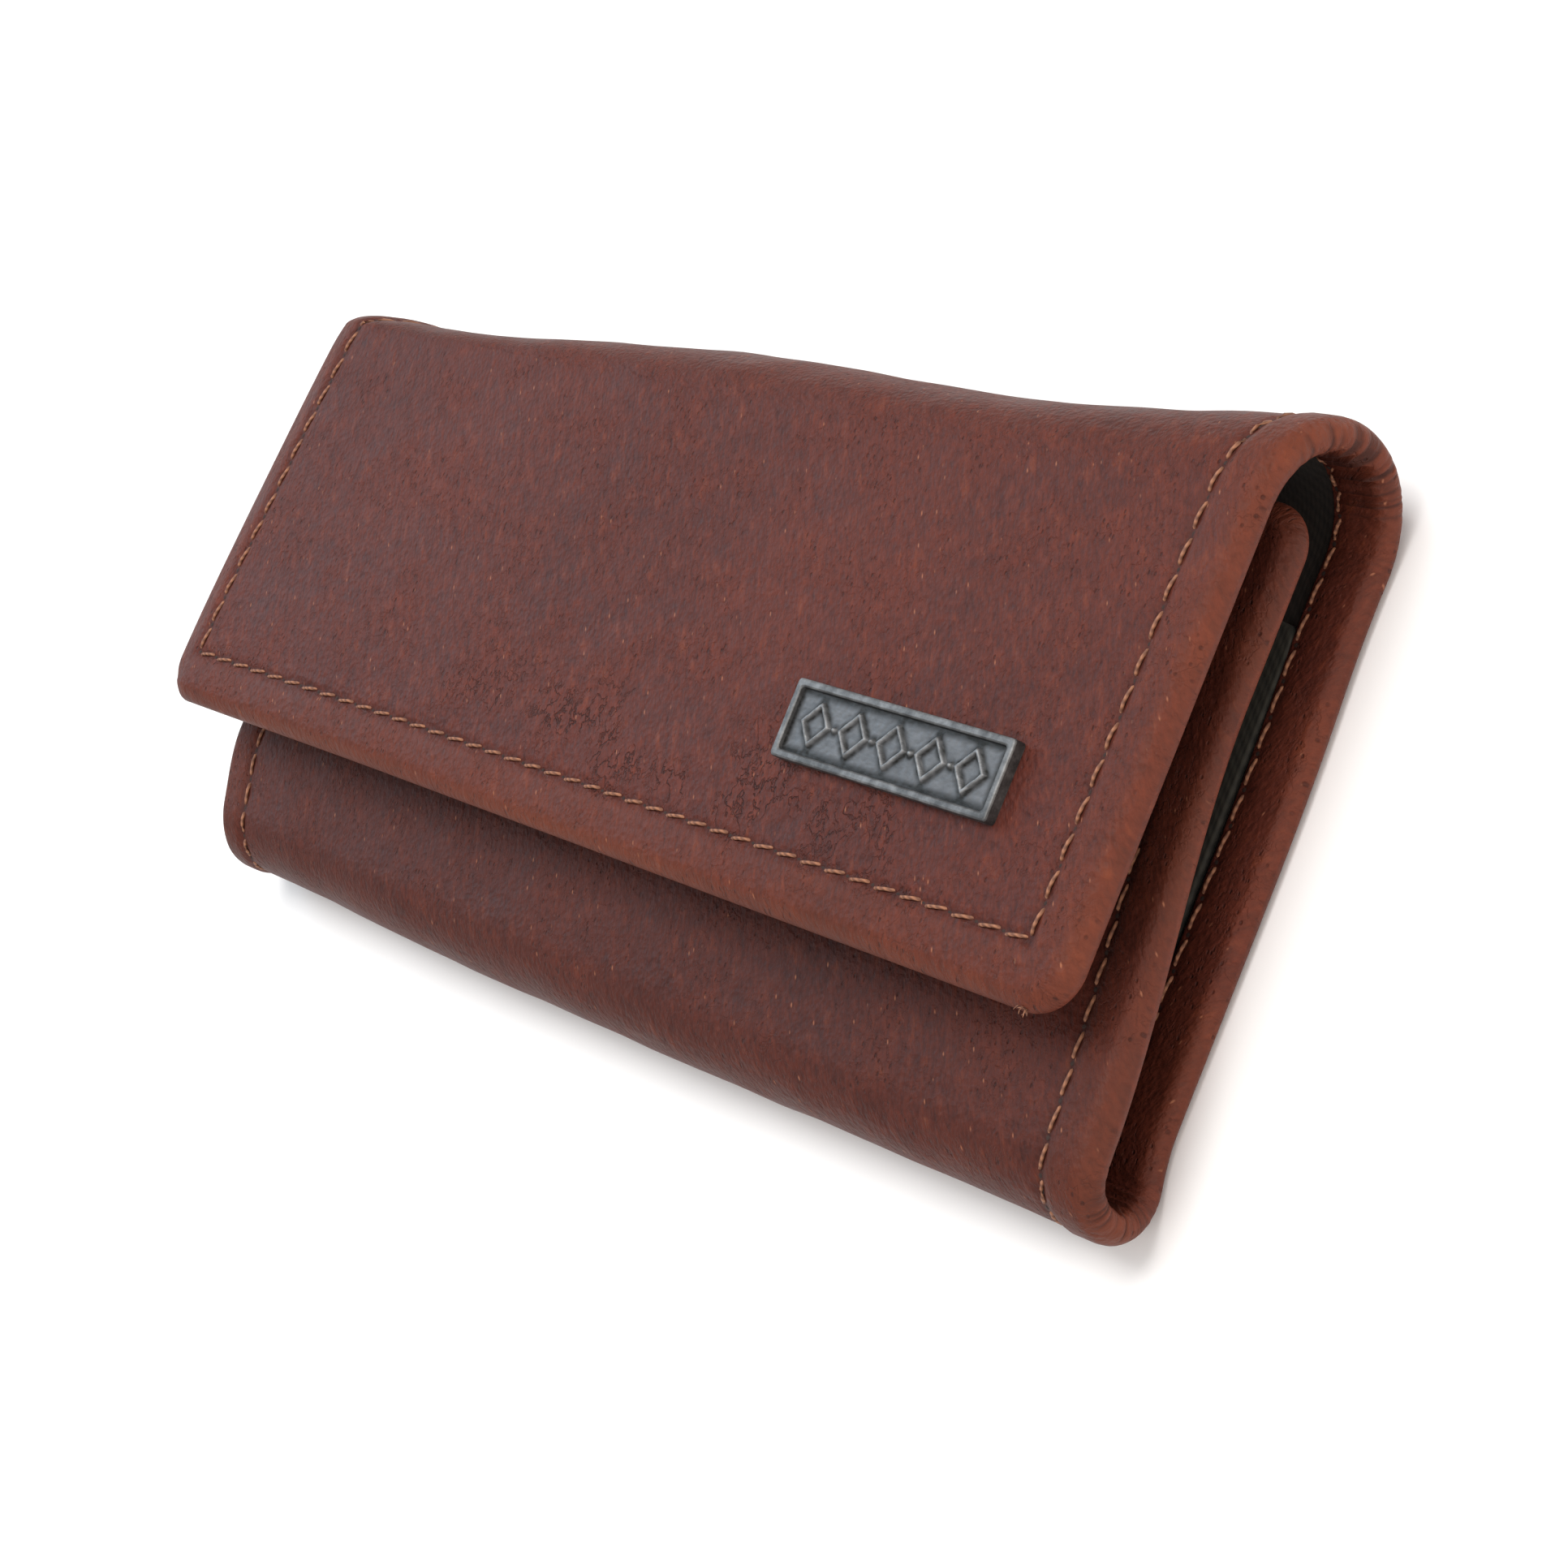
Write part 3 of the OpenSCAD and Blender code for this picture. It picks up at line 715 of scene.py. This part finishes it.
def makeLining():
    start = lining["in"]
    half = halfLength - start
    xs = np.array(spread(-half, half))
    for name, (s0, s1, bodies, nodes) in shellParts.items():
        low, high = max(s0, start), min(s1, runs[5] - start)
        x, s = np.meshgrid(xs, spread(low, high))
        e = inset(x, s)
        wave = lining["wave"] * (lattice(x / (11 * mm), s / (7 * mm), 31) - 1)
        wave = wave + bent(s) * lining["fold"] * (1.4 + lattice(x / (17 * mm), s / (2.2 * mm), 37))
        depth = shell["panel"] + wave * step(e, shell["hem"], shell["hem"] + 4 * mm)
        verts = under(x, s, depth).reshape(-1, 3)
        uv = np.stack([x.ravel(), s.ravel()], 1)
        piece = addPiece(name.replace("leather", "lining"), verts, gridFaces(*x.shape, 0, True), [liningMat],
                         uv)
        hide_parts(*[node.replace("leather", "lining") for node in nodes])
        high - low
        bendOver(piece, bodies)
    print("lining")


# stitches

class ThreadWork:
    # collects stitches and dark dots of painted shade where the needle went through, then makes one piece of
    # them
    def __init__(self):
        self.verts, self.faces, self.index = [], [], []

    def tube(self, points, radius, matIndex, sides=6):
        points = [Vector(p) for p in points]
        base = len(self.verts)
        for k, p in enumerate(points):
            way = (points[min(k + 1, len(points) - 1)] - points[max(k - 1, 0)]).normalized()
            side = way.orthogonal().normalized()
            third = way.cross(side)
            fat = radius * (0.45 if k in (0, len(points) - 1) else 1.0)
            for m in range(sides):
                a = 2 * math.pi * m / sides
                self.verts.append(p + fat * (math.cos(a) * side + math.sin(a) * third))
        for k in range(len(points) - 1):
            for m in range(sides):
                a, b = base + k * sides + m, base + k * sides + (m + 1) % sides
                self.faces.append((a, b, b + sides, a + sides))
        self.faces.append(tuple(base + m for m in reversed(range(sides))))
        self.faces.append(tuple(base + (len(points) - 1) * sides + m for m in range(sides)))
        self.index += [matIndex] * (sides * (len(points) - 1) + 2)

    def dot(self, at, normal, radius):
        # a flat dark dot, painted shade for the hollow of a hole the needle made
        at, normal = Vector(at), Vector(normal).normalized()
        side = normal.orthogonal().normalized()
        third = normal.cross(side)
        base = len(self.verts)
        count = 8
        for m in range(count):
            a = 2 * math.pi * m / count
            self.verts.append(at + radius * (math.cos(a) * side + math.sin(a) * third))
        self.verts.append(at + normal * radius * 0.25)
        for m in range(count):
            self.faces.append((base + m, base + (m + 1) % count, base + count))
        self.index += [1] * count

    def run(self, surface, start, end, pitch, slant, radius=thread["radius"], holes=True):
        # surface(u, lift) gives points along the seam; u runs from start to end in metres
        count = max(1, int(round((end - start) / pitch)))
        pitch = (end - start) / count
        for k in range(count):
            u0, u1 = start + (k + 0.08) * pitch, start + (k + 0.92) * pitch
            pts = []
            for f, h in ((0, -0.35), (0.12, 0.05), (0.35, 0.24), (0.65, 0.24), (0.88, 0.05), (1, -0.35)):
                off = slant * (f - 0.5) * (u1 - u0)
                pts.append(surface(u0 + f * (u1 - u0), h * mm, off))
            self.tube(pts, radius, 0)
            # painted shade: one dark dot at each place the needle went through
            if holes:
                at = Vector(surface(start + k * pitch, 0.03 * mm, 0))
                up = Vector(surface(start + k * pitch, 1 * mm, 0)) - at
                self.dot(at, up, thread["hole"])

    def finish(self, name):
        return addPiece(name, self.verts, self.faces, [threadMat, holeShadeMat], matIndex=self.index)


def seam(side, x=None, s=None):
    # along the fold path at one x, or across it at one s
    def surface(u, lift, off):
        at = (u, s + off) if x is None else (x + off, u)
        return leatherPoint(np.array([at[0]]), np.array([at[1]]), side, lift)[0]
    return surface


def makeShellStitches():
    e = shell["stitchIn"]
    pitch = shell["stitchPitch"]
    for name, (s0, s1, bodies, _) in shellParts.items():
        work = ThreadWork()
        low, high = max(s0, e), min(s1, runs[5] - e)
        for side in (0, 1):
            for x in (-halfLength + e, halfLength - e):
                work.run(seam(side, x=x), low, high, pitch, slant=-0.12 if side == 0 else 0.12)
            for s, here in ((e, s0 == 0), (runs[5] - e, s1 == runs[5])):
                if here:
                    work.run(seam(side, s=s), -halfLength + e, halfLength - e, pitch, slant=-0.16)
        if name == "leather_flap":
            fluff(work)
        piece = work.finish(name.replace("leather", "stitches"))
        bendOver(piece, bodies)
    print("stitches")


def fluff(work):
    # the frayed end of the thread left standing at the flap's corner
    base = Vector(leatherPoint(np.array([halfLength - 5.5 * mm]), np.array([runs[5] - 0.3 * mm]), 0)[0])
    rng = np.random.default_rng(5)
    for _ in range(12):
        start = base + Vector((rng.uniform(-0.6, 0.6), 0.1, rng.uniform(-0.3, 0.2))) * mm
        way = Vector((rng.uniform(-0.8, 0.8), rng.uniform(-1.0, -0.4), rng.uniform(-0.6, 0.5))).normalized()
        bend = Vector(rng.uniform(-0.6, 0.6, 3))
        pts = [start + (way * t + bend * t * t) * rng.uniform(0.8, 1.0) * mm for t in (0, 0.35, 0.7, 1.0)]
        work.tube(pts, 0.06 * mm, 0, 4)


# flat sewn parts

def lines(low, high, cell, radius):
    # grid lines with extra ones where an edge is rounded
    near = [radius * k for k in (0, 0.15, 0.4, 0.7, 1.0)]
    count = max(1, int(round((high - low - 2 * radius) / cell)))
    middle = list(np.linspace(low + radius, high - radius, count + 1))[1:-1]
    return [low + n for n in near] + middle + [high - n for n in reversed(near)]


def slab(name, low, high, material, cell=2.0 * mm, hole=None, corner=0.0, crown=None):
    # a thin sewn part with rounded edges; hole is (x0, y0, x1, y1), crown moves both faces in Z
    low, high = Vector(low), Vector(high)
    r = (high.z - low.z) / 2
    xs, ys = lines(low.x, high.x, cell, r), lines(low.y, high.y, cell, r)
    if hole:
        near = [r * k for k in (-1.0, -0.65, -0.3, 0, 0.3, 0.65, 1.0)]
        xs += [v + n for v in hole[0::2] for n in near]
        ys += [v + n for v in hole[1::2] for n in near]
    xs, ys = np.unique(np.round(xs, 7)), np.unique(np.round(ys, 7))
    x, y = np.meshgrid(xs, ys)
    e = np.minimum(np.minimum(x - low.x, high.x - x), np.minimum(y - low.y, high.y - y))
    inHole = np.zeros_like(x, bool)
    if hole:
        outX = np.maximum(hole[0] - x, x - hole[2])
        outY = np.maximum(hole[1] - y, y - hole[3])
        away = np.where((outX > 0) & (outY > 0), np.hypot(outX, outY), np.maximum(outX, outY))
        inHole = away < -1e-9
        e = np.minimum(e, np.maximum(away, 0))
    ease = r - np.sqrt(np.maximum(r * r - np.maximum(r - e, 0) ** 2, 0))
    if corner:
        x, y = roundPlan(x, y, low, high, corner)
    lift = crown(x, y) if crown else 0 * x
    top = np.stack([x, y, high.z - ease + lift], -1).reshape(-1, 3)
    bottom = np.stack([x, y, low.z + ease + lift], -1).reshape(-1, 3)
    rows, cols = x.shape
    keep = ~(inHole[:-1, :-1] | inHole[1:, 1:] | inHole[1:, :-1] | inHole[:-1, 1:]).ravel()
    faces = [f for f, k in zip(gridFaces(rows, cols, 0, False), keep) if k]
    faces += [f for f, k in zip(gridFaces(rows, cols, rows * cols, True), keep) if k]
    uv = np.vstack([np.stack([x.ravel(), y.ravel()], 1)] * 2)
    piece = addPiece(name, np.vstack([top, bottom]), faces, [material], uv)
    weld(piece, 0.000012)
    return piece


def roundPlan(x, y, low, high, r):
    cx, cy = (low.x + high.x) / 2, (low.y + high.y) / 2
    hx, hy = (high.x - low.x) / 2, (high.y - low.y) / 2
    a, b = (np.abs(x - cx) - hx + r) / r, (np.abs(y - cy) - hy + r) / r
    here = (a > 0) & (b > 0)
    scale = np.where(here, np.maximum(a, b) / np.maximum(np.hypot(a, b), 1e-9), 1)
    nx = np.where(here, cx + np.sign(x - cx) * (hx - r + a * scale * r), x)
    ny = np.where(here, cy + np.sign(y - cy) * (hy - r + b * scale * r), y)
    return nx, ny


def sewFlat(work, a, b, normal, pitch=3.0 * mm):
    a, b, normal = Vector(a), Vector(b), Vector(normal)
    way = (b - a).normalized()
    side = normal.cross(way)

    def surface(u, lift, off):
        return a + way * u + normal * lift + side * off
    work.run(surface, 0, (b - a).length, pitch, slant=0.08, radius=thread["thin"], holes=False)


def sewLoop(work, x0, y0, x1, y1, z, normal):
    corners = [(x0, y0, z), (x1, y0, z), (x1, y1, z), (x0, y1, z)]
    for p, q in zip(corners, corners[1:] + corners[:1]):
        sewFlat(work, p, q, normal)


pouch = {"slit": 4.5 * mm, "seam": 2 * mm, "rim": 3 * mm, "wall": 0.9 * mm, "floor": 0.4 * mm,
         "belly": 0.5 * mm}


def makeBackPockets():
    low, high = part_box("note_pocket")
    note = slab("note_divider", low, high, innerClothMat, 3 * mm, corner=2 * mm)
    settle(note, "note_pocket", "back")
    low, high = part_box("coin_pouch")
    settle(softBag("coin_bag", low, high), "coin_pouch", "back")
    low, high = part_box("coin_facing")
    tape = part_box("zip_tape_upper")
    zipY = (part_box("zip_tape_lower")[0].y + tape[1].y) / 2
    g, rim = pouch["seam"], pouch["rim"]
    win = (tape[0].x + 2 * mm, zipY - pouch["slit"], tape[1].x - 2 * mm, zipY + pouch["slit"])
    facing = slab("pouch_facing", low, high, innerHideMat, 2.5 * mm, win, 3 * mm)
    settle(facing, "coin_facing", "back")
    work = ThreadWork()
    top = high.z - 0.02 * mm
    sewLoop(work, win[0] - g, win[1] - g, win[2] + g, win[3] + g, top, (0, 0, 1))
    sewLoop(work, low.x + rim, low.y + rim, high.x - rim, high.y - rim, top, (0, 0, 1))
    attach(work.finish("pouch_stitches"), "back")
    print("back pockets")


def softBag(name, low, high):
    # cloth tray whose walls belly a little between its corners
    low, high = Vector(low), Vector(high)
    bm = bmesh.new()

    def ring(k, thick, lowest):
        z = max(low.z + (high.z - low.z) * k / 6, lowest)
        belly = pouch["belly"] * math.sin(math.pi * k / 6)
        return [bm.verts.new((*p, z)) for p in softLoop(low, high, -thick - 0.2 * mm - belly)]

    floor = low.z + pouch["floor"]
    outer = [ring(k, 0, low.z) for k in range(7)]
    solid(bm, outer + [ring(k, pouch["wall"], floor) for k in range(6, 0, -1)])
    return bmPiece(name, bm, innerClothMat, smooth=True)


def softLoop(low, high, grow, count=160):
    hx, hy = (high.x - low.x) / 2 + grow, (high.y - low.y) / 2 + grow
    cx, cy = (high.x + low.x) / 2, (high.y + low.y) / 2
    pts = []
    pw = 0.12  # near 0 is a square corner
    for k in range(count):
        a = 2 * math.pi * (k + 0.5) / count
        c, s = math.cos(a), math.sin(a)
        pts.append((cx + hx * math.copysign(abs(c) ** pw, c), cy + hy * math.copysign(abs(s) ** pw, s)))
    return pts


# zip

zipSizes = {"pitch": 2.5 * mm, "toothW": 1.25 * mm, "toothH": 1.3 * mm, "toothL": 2.5 * mm}


def makeZip():
    for node, name in (("zip_tape_upper", "zip_tape_top"), ("zip_tape_lower", "zip_tape_low")):
        low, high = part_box(node)
        settle(slab(name, low, high, tapeMat, 2 * mm), node, "back")
    middle = (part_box("zip_tape_upper")[0].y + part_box("zip_tape_lower")[1].y) / 2
    for way, node, name in ((1, "zip_teeth_upper", "zip_row_top"), (-1, "zip_teeth_lower", "zip_row_low")):
        low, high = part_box(node)
        count = int(round((high.x - low.x - 1.1 * mm) / zipSizes["pitch"])) + 1
        bm = bmesh.new()
        z = (low.z + high.z) / 2
        for k in range(count):
            x = low.x + 0.55 * mm + k * zipSizes["pitch"]
            tooth(bm, Vector((x, middle, z)), way)
        settle(bmPiece(name, bm, nickelMat, 0.15 * mm), node, "back")
    makeSlider()
    print("zip")


def block(bm, low, high):
    low, high = Vector(low), Vector(high)
    made = bmesh.ops.create_cube(bm, size=1)["verts"]
    size = high - low
    for v in made:
        v.co = Vector((low.x + (v.co.x + 0.5) * size.x, low.y + (v.co.y + 0.5) * size.y,
                       low.z + (v.co.z + 0.5) * size.z))
    return made


def tooth(bm, at, way):
    # a jaw over the tape's edge and a nose that meets the other row
    w, h, l = zipSizes["toothW"] / 2, zipSizes["toothH"] / 2, zipSizes["toothL"]
    nose = at.y - way * 0.35 * mm
    y0, y1 = sorted((nose, at.y + way * (l - 0.35 * mm)))
    verts = block(bm, (at.x - w, y0, at.z - h), (at.x + w, y1, at.z + h))
    for v in verts:
        if abs(v.co.y - nose) < 0.1 * mm:
            v.co.x = at.x + (v.co.x - at.x) * 0.72


sliderSizes = {
    "plate": 0.6 * mm,
    "bail": 1.0 * mm,
    # outlines in millimetres
    "body": [(-3.5, -1.9), (-2.4, -3.1), (1.0, -3.2), (3.4, -2.2), (3.5, 0), (3.4, 2.2), (1.0, 3.2),
             (-2.4, 3.1), (-3.5, 1.9)],
    "arch": [(-2.6, 0), (-2.3, 0.62), (-1.5, 0.95), (1.0, 0.95), (1.9, 0.62), (2.2, 0)],
    "tab": [(0.0, 1.3), (0.5, 1.8), (3.6, 1.9), (5.2, 1.2), (8.0, 1.0), (12.0, 1.5), (16.0, 2.0),
            (18.2, 1.7), (19.0, 0.6)],
}


def makeSlider():
    low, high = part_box("zip_slider")
    middle = Vector(((low.x + high.x) / 2, (low.y + high.y) / 2, 0))
    bm = bmesh.new()
    plate, bail, outline = sliderSizes["plate"], sliderSizes["bail"], sliderSizes["body"]
    topZ = high.z - bail - plate
    for z in (low.z, topZ):
        solid(bm, [[bm.verts.new((middle.x + a * mm, middle.y + b * mm, h)) for a, b in outline]
                   for h in (z, z + plate)])
    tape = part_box("zip_tape_upper")
    for way in (-1, 1):  # flanges that reach down and up to the tape
        y0, y1 = sorted((middle.y + way * 2.75 * mm, middle.y + way * 3.1 * mm))
        x0, x1 = middle.x - 2.4 * mm, middle.x + 1.0 * mm
        block(bm, (x0, y0, tape[1].z + 0.05 * mm), (x1, y1, topZ + 0.1 * mm))
        block(bm, (x0, y0, low.z + plate - 0.1 * mm), (x1, y1, tape[0].z - 0.05 * mm))
    arch = sliderSizes["arch"]
    top = high.z - bail

    def archRow(w, narrow, thick):
        return [bm.verts.new((middle.x + a * narrow * mm, middle.y + w * mm, top + max(0, b * mm - thick)))
                for a, b in arch]

    outer = [archRow(w, 1, 0) for w in (-0.8, 0.8)]
    inner = [archRow(w, 0.72, 0.32 * mm) for w in (0.8, -0.8)]
    solid(bm, list(zip(*outer, *inner)))
    settle(bmPiece("slider_body", bm, nickelMat, 0.15 * mm), "zip_slider", "slider")
    low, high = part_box("zip_puller")
    bm = bmesh.new()
    middle = (low.y + high.y) / 2
    corners = ((1, low.z), (-1, low.z), (-1, high.z), (1, high.z))
    solid(bm, [[bm.verts.new((low.x + a * mm, middle + b * way * mm, z)) for way, z in corners]
               for a, b in sliderSizes["tab"]])
    settle(bmPiece("pull_tab", bm, nickelMat, 0.14 * mm), "zip_puller", "slider")


def bmPiece(name, bm, material, bevelWidth=0.0, smooth=False):
    bmesh.ops.recalc_face_normals(bm, faces=bm.faces)
    mesh = bpy.data.meshes.new(name)
    bm.to_mesh(mesh)
    bm.free()
    mesh.materials.append(material)
    mesh.polygons.foreach_set("use_smooth", [smooth] * len(mesh.polygons))
    piece = put(name, mesh)
    if bevelWidth:
        bevel = piece.modifiers.new("soft edges", "BEVEL")
        bevel.width = bevelWidth
        bevel.segments = 2
    return piece


# card rows and window pocket

down = (0, 0, -1)
cards = {"gap": 0.4 * mm, "seam": 2.2 * mm, "pitch": 2.6 * mm}  # gap is half the slit between left and right


def makeCardRows():
    work = ThreadWork()
    gap = cards["gap"]
    for row in ("back", "middle", "front"):
        node = f"card_row_{row}"
        low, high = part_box(node)
        for side, x0, x1 in (("left", low.x, -gap), ("right", gap, high.x)):
            a, b = Vector((x0, low.y, low.z)), Vector((x1, high.y, high.z))

            def crown(x, y, top=b.y):
                dip = 0.10 * mm * bell(y, top - 0.6 * mm, 0.7 * mm)
                return 0.07 * mm * bell(y, top - cards["seam"], 0.5 * mm) - dip
            piece = slab(f"cards_{row}_{side}", a, b, innerHideMat, 2.2 * mm, crown=crown)
            settle(piece, node, "flap")
            y, z = b.y - cards["seam"], low.z + 0.03 * mm
            sewFlat(work, (a.x + 2 * mm, y, z), (b.x - 2 * mm, y, z), down, cards["pitch"])
    low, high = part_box("card_row_front")
    z = low.z + 0.03 * mm
    for x in (low.x + 1.6 * mm, -1.8 * mm, 1.8 * mm, high.x - 1.6 * mm):
        sewFlat(work, (x, low.y + 1 * mm, z), (x, high.y - 1 * mm, z), down, cards["pitch"])
    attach(work.finish("card_stitches"), "flap")
    print("card rows")


window = {"frame": 3 * mm, "film": 0.3 * mm, "seam": 1.6 * mm}


def makeWindowPocket():
    low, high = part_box("window_pocket")
    wLow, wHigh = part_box("id_window")
    f, g = window["frame"], window["seam"]
    hole = (wLow.x + f, wLow.y + f, wHigh.x - f, wHigh.y - f)
    top = (high.x, high.y, high.z - window["film"])
    cover = slab("window_cover", low, top, innerHideMat, 2.5 * mm, hole)
    settle(cover, "window_pocket", "front")
    work = ThreadWork()
    z = low.z + 0.02 * mm
    sewLoop(work, hole[0] - g, hole[1] - g, hole[2] + g, hole[3] + g, z, down)
    sewFlat(work, (low.x + f, high.y - f, z), (high.x - f, high.y - f, z), down)
    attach(work.finish("window_stitches"), "front")
    paint("id_window", filmMat)
    print("window pocket")


def paint(node, material):
    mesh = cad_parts[node].data
    mesh.materials.clear()
    mesh.materials.append(material)


# magnetic snap

def turned(name, node, body, at, outline, sides=64):
    # outline is (radius, z) pairs turned about Z
    bm = bmesh.new()
    rings = []
    for r, z in outline:
        angles = [2 * math.pi * k / sides for k in range(sides)]
        rings.append([bm.verts.new((at[0] + r * math.cos(a), at[1] + r * math.sin(a), z)) for a in angles])
    solid(bm, rings)
    bm.normal_update()
    for edge in bm.edges:
        edge.smooth = edge.calc_face_angle(0) < math.radians(38)
    settle(bmPiece(name, bm, nickelMat, smooth=True), node, body)


def makeSnap():
    low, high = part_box("snap_socket")
    at = ((low.x + high.x) / 2, (low.y + high.y) / 2)
    r = (high.x - low.x) / 2
    z = low.z
    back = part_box("card_row_front")[0].z
    turned("snap_cup", "snap_socket", "flap", at, [
        (0.4 * mm, z + 2.3 * mm), (2.9 * mm, z + 2.3 * mm), (2.9 * mm, z + 0.25 * mm), (3.15 * mm, z),
        (4.2 * mm, z), (4.4 * mm, z + 0.25 * mm), (r - 1.2 * mm, z + 0.3 * mm),
        (r - 0.9 * mm, z + 0.05 * mm), (r - 0.3 * mm, z + 0.05 * mm), (r, z + 0.4 * mm),
        (r, back - 0.5 * mm), (r - 0.25 * mm, back - 0.02 * mm), (0.8 * mm, back - 0.02 * mm),
        (0.8 * mm, high.z)])
    low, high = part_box("snap_stud")
    face = frontHigh.z
    base = face + 1.6 * mm
    turned("snap_post", "snap_stud", "front", at, [
        (0.8 * mm, low.z), (0.8 * mm, face + 0.02 * mm), (r - 0.2 * mm, face + 0.02 * mm),
        (r, face + 0.35 * mm), (r - 0.05 * mm, face + 0.8 * mm), (r - 1.6 * mm, base - 0.15 * mm),
        (r - 2.4 * mm, base), (3.0 * mm, base), (2.75 * mm, base + 0.1 * mm), (2.45 * mm, base + 0.4 * mm),
        (2.5 * mm, base + 1.3 * mm), (2.2 * mm, high.z - 0.1 * mm), (1.6 * mm, high.z)])
    print("snap")


# name plate

plateLook = {"border": 1.0 * mm, "sunk": 0.55 * mm, "edge": 0.28 * mm, "marks": 5, "size": 1.65 * mm,
             "stroke": 0.30 * mm, "cell": 0.16 * mm}


def makePlate():
    low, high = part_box("name_plate")
    b, soft, top = plateLook["border"], plateLook["edge"], high.z
    cx, cy = (low.x + high.x) / 2, (low.y + high.y) / 2
    hx, hy = (high.x - low.x) / 2, (high.y - low.y) / 2
    steps = [(0, flapHigh.z - 0.3 * mm), (0, top - soft), (0.3 * soft, top - 0.3 * soft), (soft, top),
             (b - 0.2 * mm, top), (b, top - 0.12 * mm), (b + 0.12 * mm, top - plateLook["sunk"] - 0.1 * mm)]
    bm = bmesh.new()
    loops = [[bm.verts.new(p) for p in plateLoop(cx, cy, hx - i, hy - i, z)] for i, z in steps]
    solid(bm, loops)
    rim = bmPiece("name_plate_rim", bm, pewterMat)
    mark(rim.data, "proud", [1.0 if v.co.z > top - 0.3 * mm or v.co.z < flapHigh.z + 1 * mm else 0.0
                             for v in rim.data.vertices])
    mark(rim.data, "soot", [0.3 if v.co.z > top - 0.1 * mm else 0.65 for v in rim.data.vertices])
    settle(rim, "name_plate", "flap")
    # the sunk field is one height map with the raised marks on it
    wide, tall = hx - b - 0.02 * mm, hy - b - 0.02 * mm
    x, y = np.meshgrid(np.arange(-wide, wide, plateLook["cell"]), np.arange(-tall, tall, plateLook["cell"]))
    raised, near = marks(x, y, wide)
    rough = 0.03 * mm * lattice(x / (0.5 * mm), y / (0.35 * mm), 51)
    z = top - plateLook["sunk"] + raised * 0.42 * mm + rough
    toEdge = np.minimum(wide - np.abs(x), tall - np.abs(y))
    patchy = 0.75 + 0.35 * lattice(x / (0.9 * mm), y / (0.7 * mm), 53)
    soot = np.clip(1 - step(toEdge, 0.25 * mm, 1.3 * mm) + 1.25 * near * (1 - raised) * patchy, 0, 1)
    verts = np.stack([x + cx, y + cy, z], -1).reshape(-1, 3)
    field = addPiece("name_plate_field", verts, gridFaces(*x.shape, 0, False), [pewterMat],
                     marks={"proud": raised.ravel(), "soot": soot.ravel()})
    settle(field, "name_plate", "flap")
    print("plate")


def marks(x, y, wide):
    # hollow diamonds with a bead between each pair; the second value is the soot round them
    count = plateLook["marks"]
    gap = 2 * wide / (count + 0.3)
    k = np.clip(np.round(x / gap), -(count // 2), count // 2)
    reach = (0.95 * np.abs(x - k * gap) + 0.85 * np.abs(y)) / 1.3
    line = np.abs(reach - plateLook["size"])
    j = np.clip(np.floor(x / gap), -(count // 2), count // 2 - 1) + 0.5
    bead = np.hypot(x - j * gap, y)
    raised = np.maximum(1 - step(line, plateLook["stroke"] * 0.5, plateLook["stroke"]),
                        1 - step(bead, 0.22 * mm, 0.42 * mm))
    near = np.maximum(1 - step(line, plateLook["stroke"], 1.2 * mm), 1 - step(bead, 0.4 * mm, 1.2 * mm))
    return raised, near


def plateLoop(cx, cy, hx, hy, z, r=0.5 * mm):
    pts = []
    for sx, sy, start in ((1, 1, 0), (-1, 1, 90), (-1, -1, 180), (1, -1, 270)):
        for k in range(4):
            a = math.radians(start + 30 * k)
            pts.append((cx + sx * (hx - r) + r * math.cos(a), cy + sy * (hy - r) + r * math.sin(a), z))
    return pts


# stiffening boards

board = {"in": 2.4 * mm, "outer": 1.55 * mm, "inner": 2.2 * mm}  # edge gap, depths of the two faces


def makeBoards():
    # shut in between leather and lining, they follow the shell's shape
    gap = board["in"]
    xs = np.array(spread(gap - halfLength, halfLength - gap, 5 * mm))
    for body, s0, s1 in (("front", gap, runs[1]), ("back", runs[2], runs[3]),
                         ("flap", runs[4], runs[5] - gap)):
        x, s = np.meshgrid(xs, np.array(spread(s0, s1, 4 * mm)))
        rows, cols = x.shape
        verts = np.vstack([under(x, s, board[face]).reshape(-1, 3) for face in ("outer", "inner")])
        faces = gridFaces(rows, cols, 0, False) + gridFaces(rows, cols, x.size, True)
        ring = list(range(cols)) + [i * cols + cols - 1 for i in range(1, rows)]
        ring += [(rows - 1) * cols + j for j in range(cols - 2, -1, -1)]
        ring += [i * cols for i in range(rows - 2, 0, -1)]
        faces += [(b, a, a + x.size, b + x.size) for a, b in zip(ring, ring[1:] + ring[:1])]
        piece = addPiece(f"{body}_stiffener", verts, faces, [boardMat], smooth=False)
        settle(piece, f"{body}_board", body)
    print("boards")


def paintHidden():
    for node in ("snap_socket_washer", "snap_stud_washer", "name_plate_washer", "zip_stops"):
        paint(node, nickelMat)


setStage()
makeShell()
makeLining()
makeShellStitches()
makeBackPockets()
makeZip()
makeCardRows()
makeWindowPocket()
makeSnap()
makePlate()
makeBoards()
paintHidden()
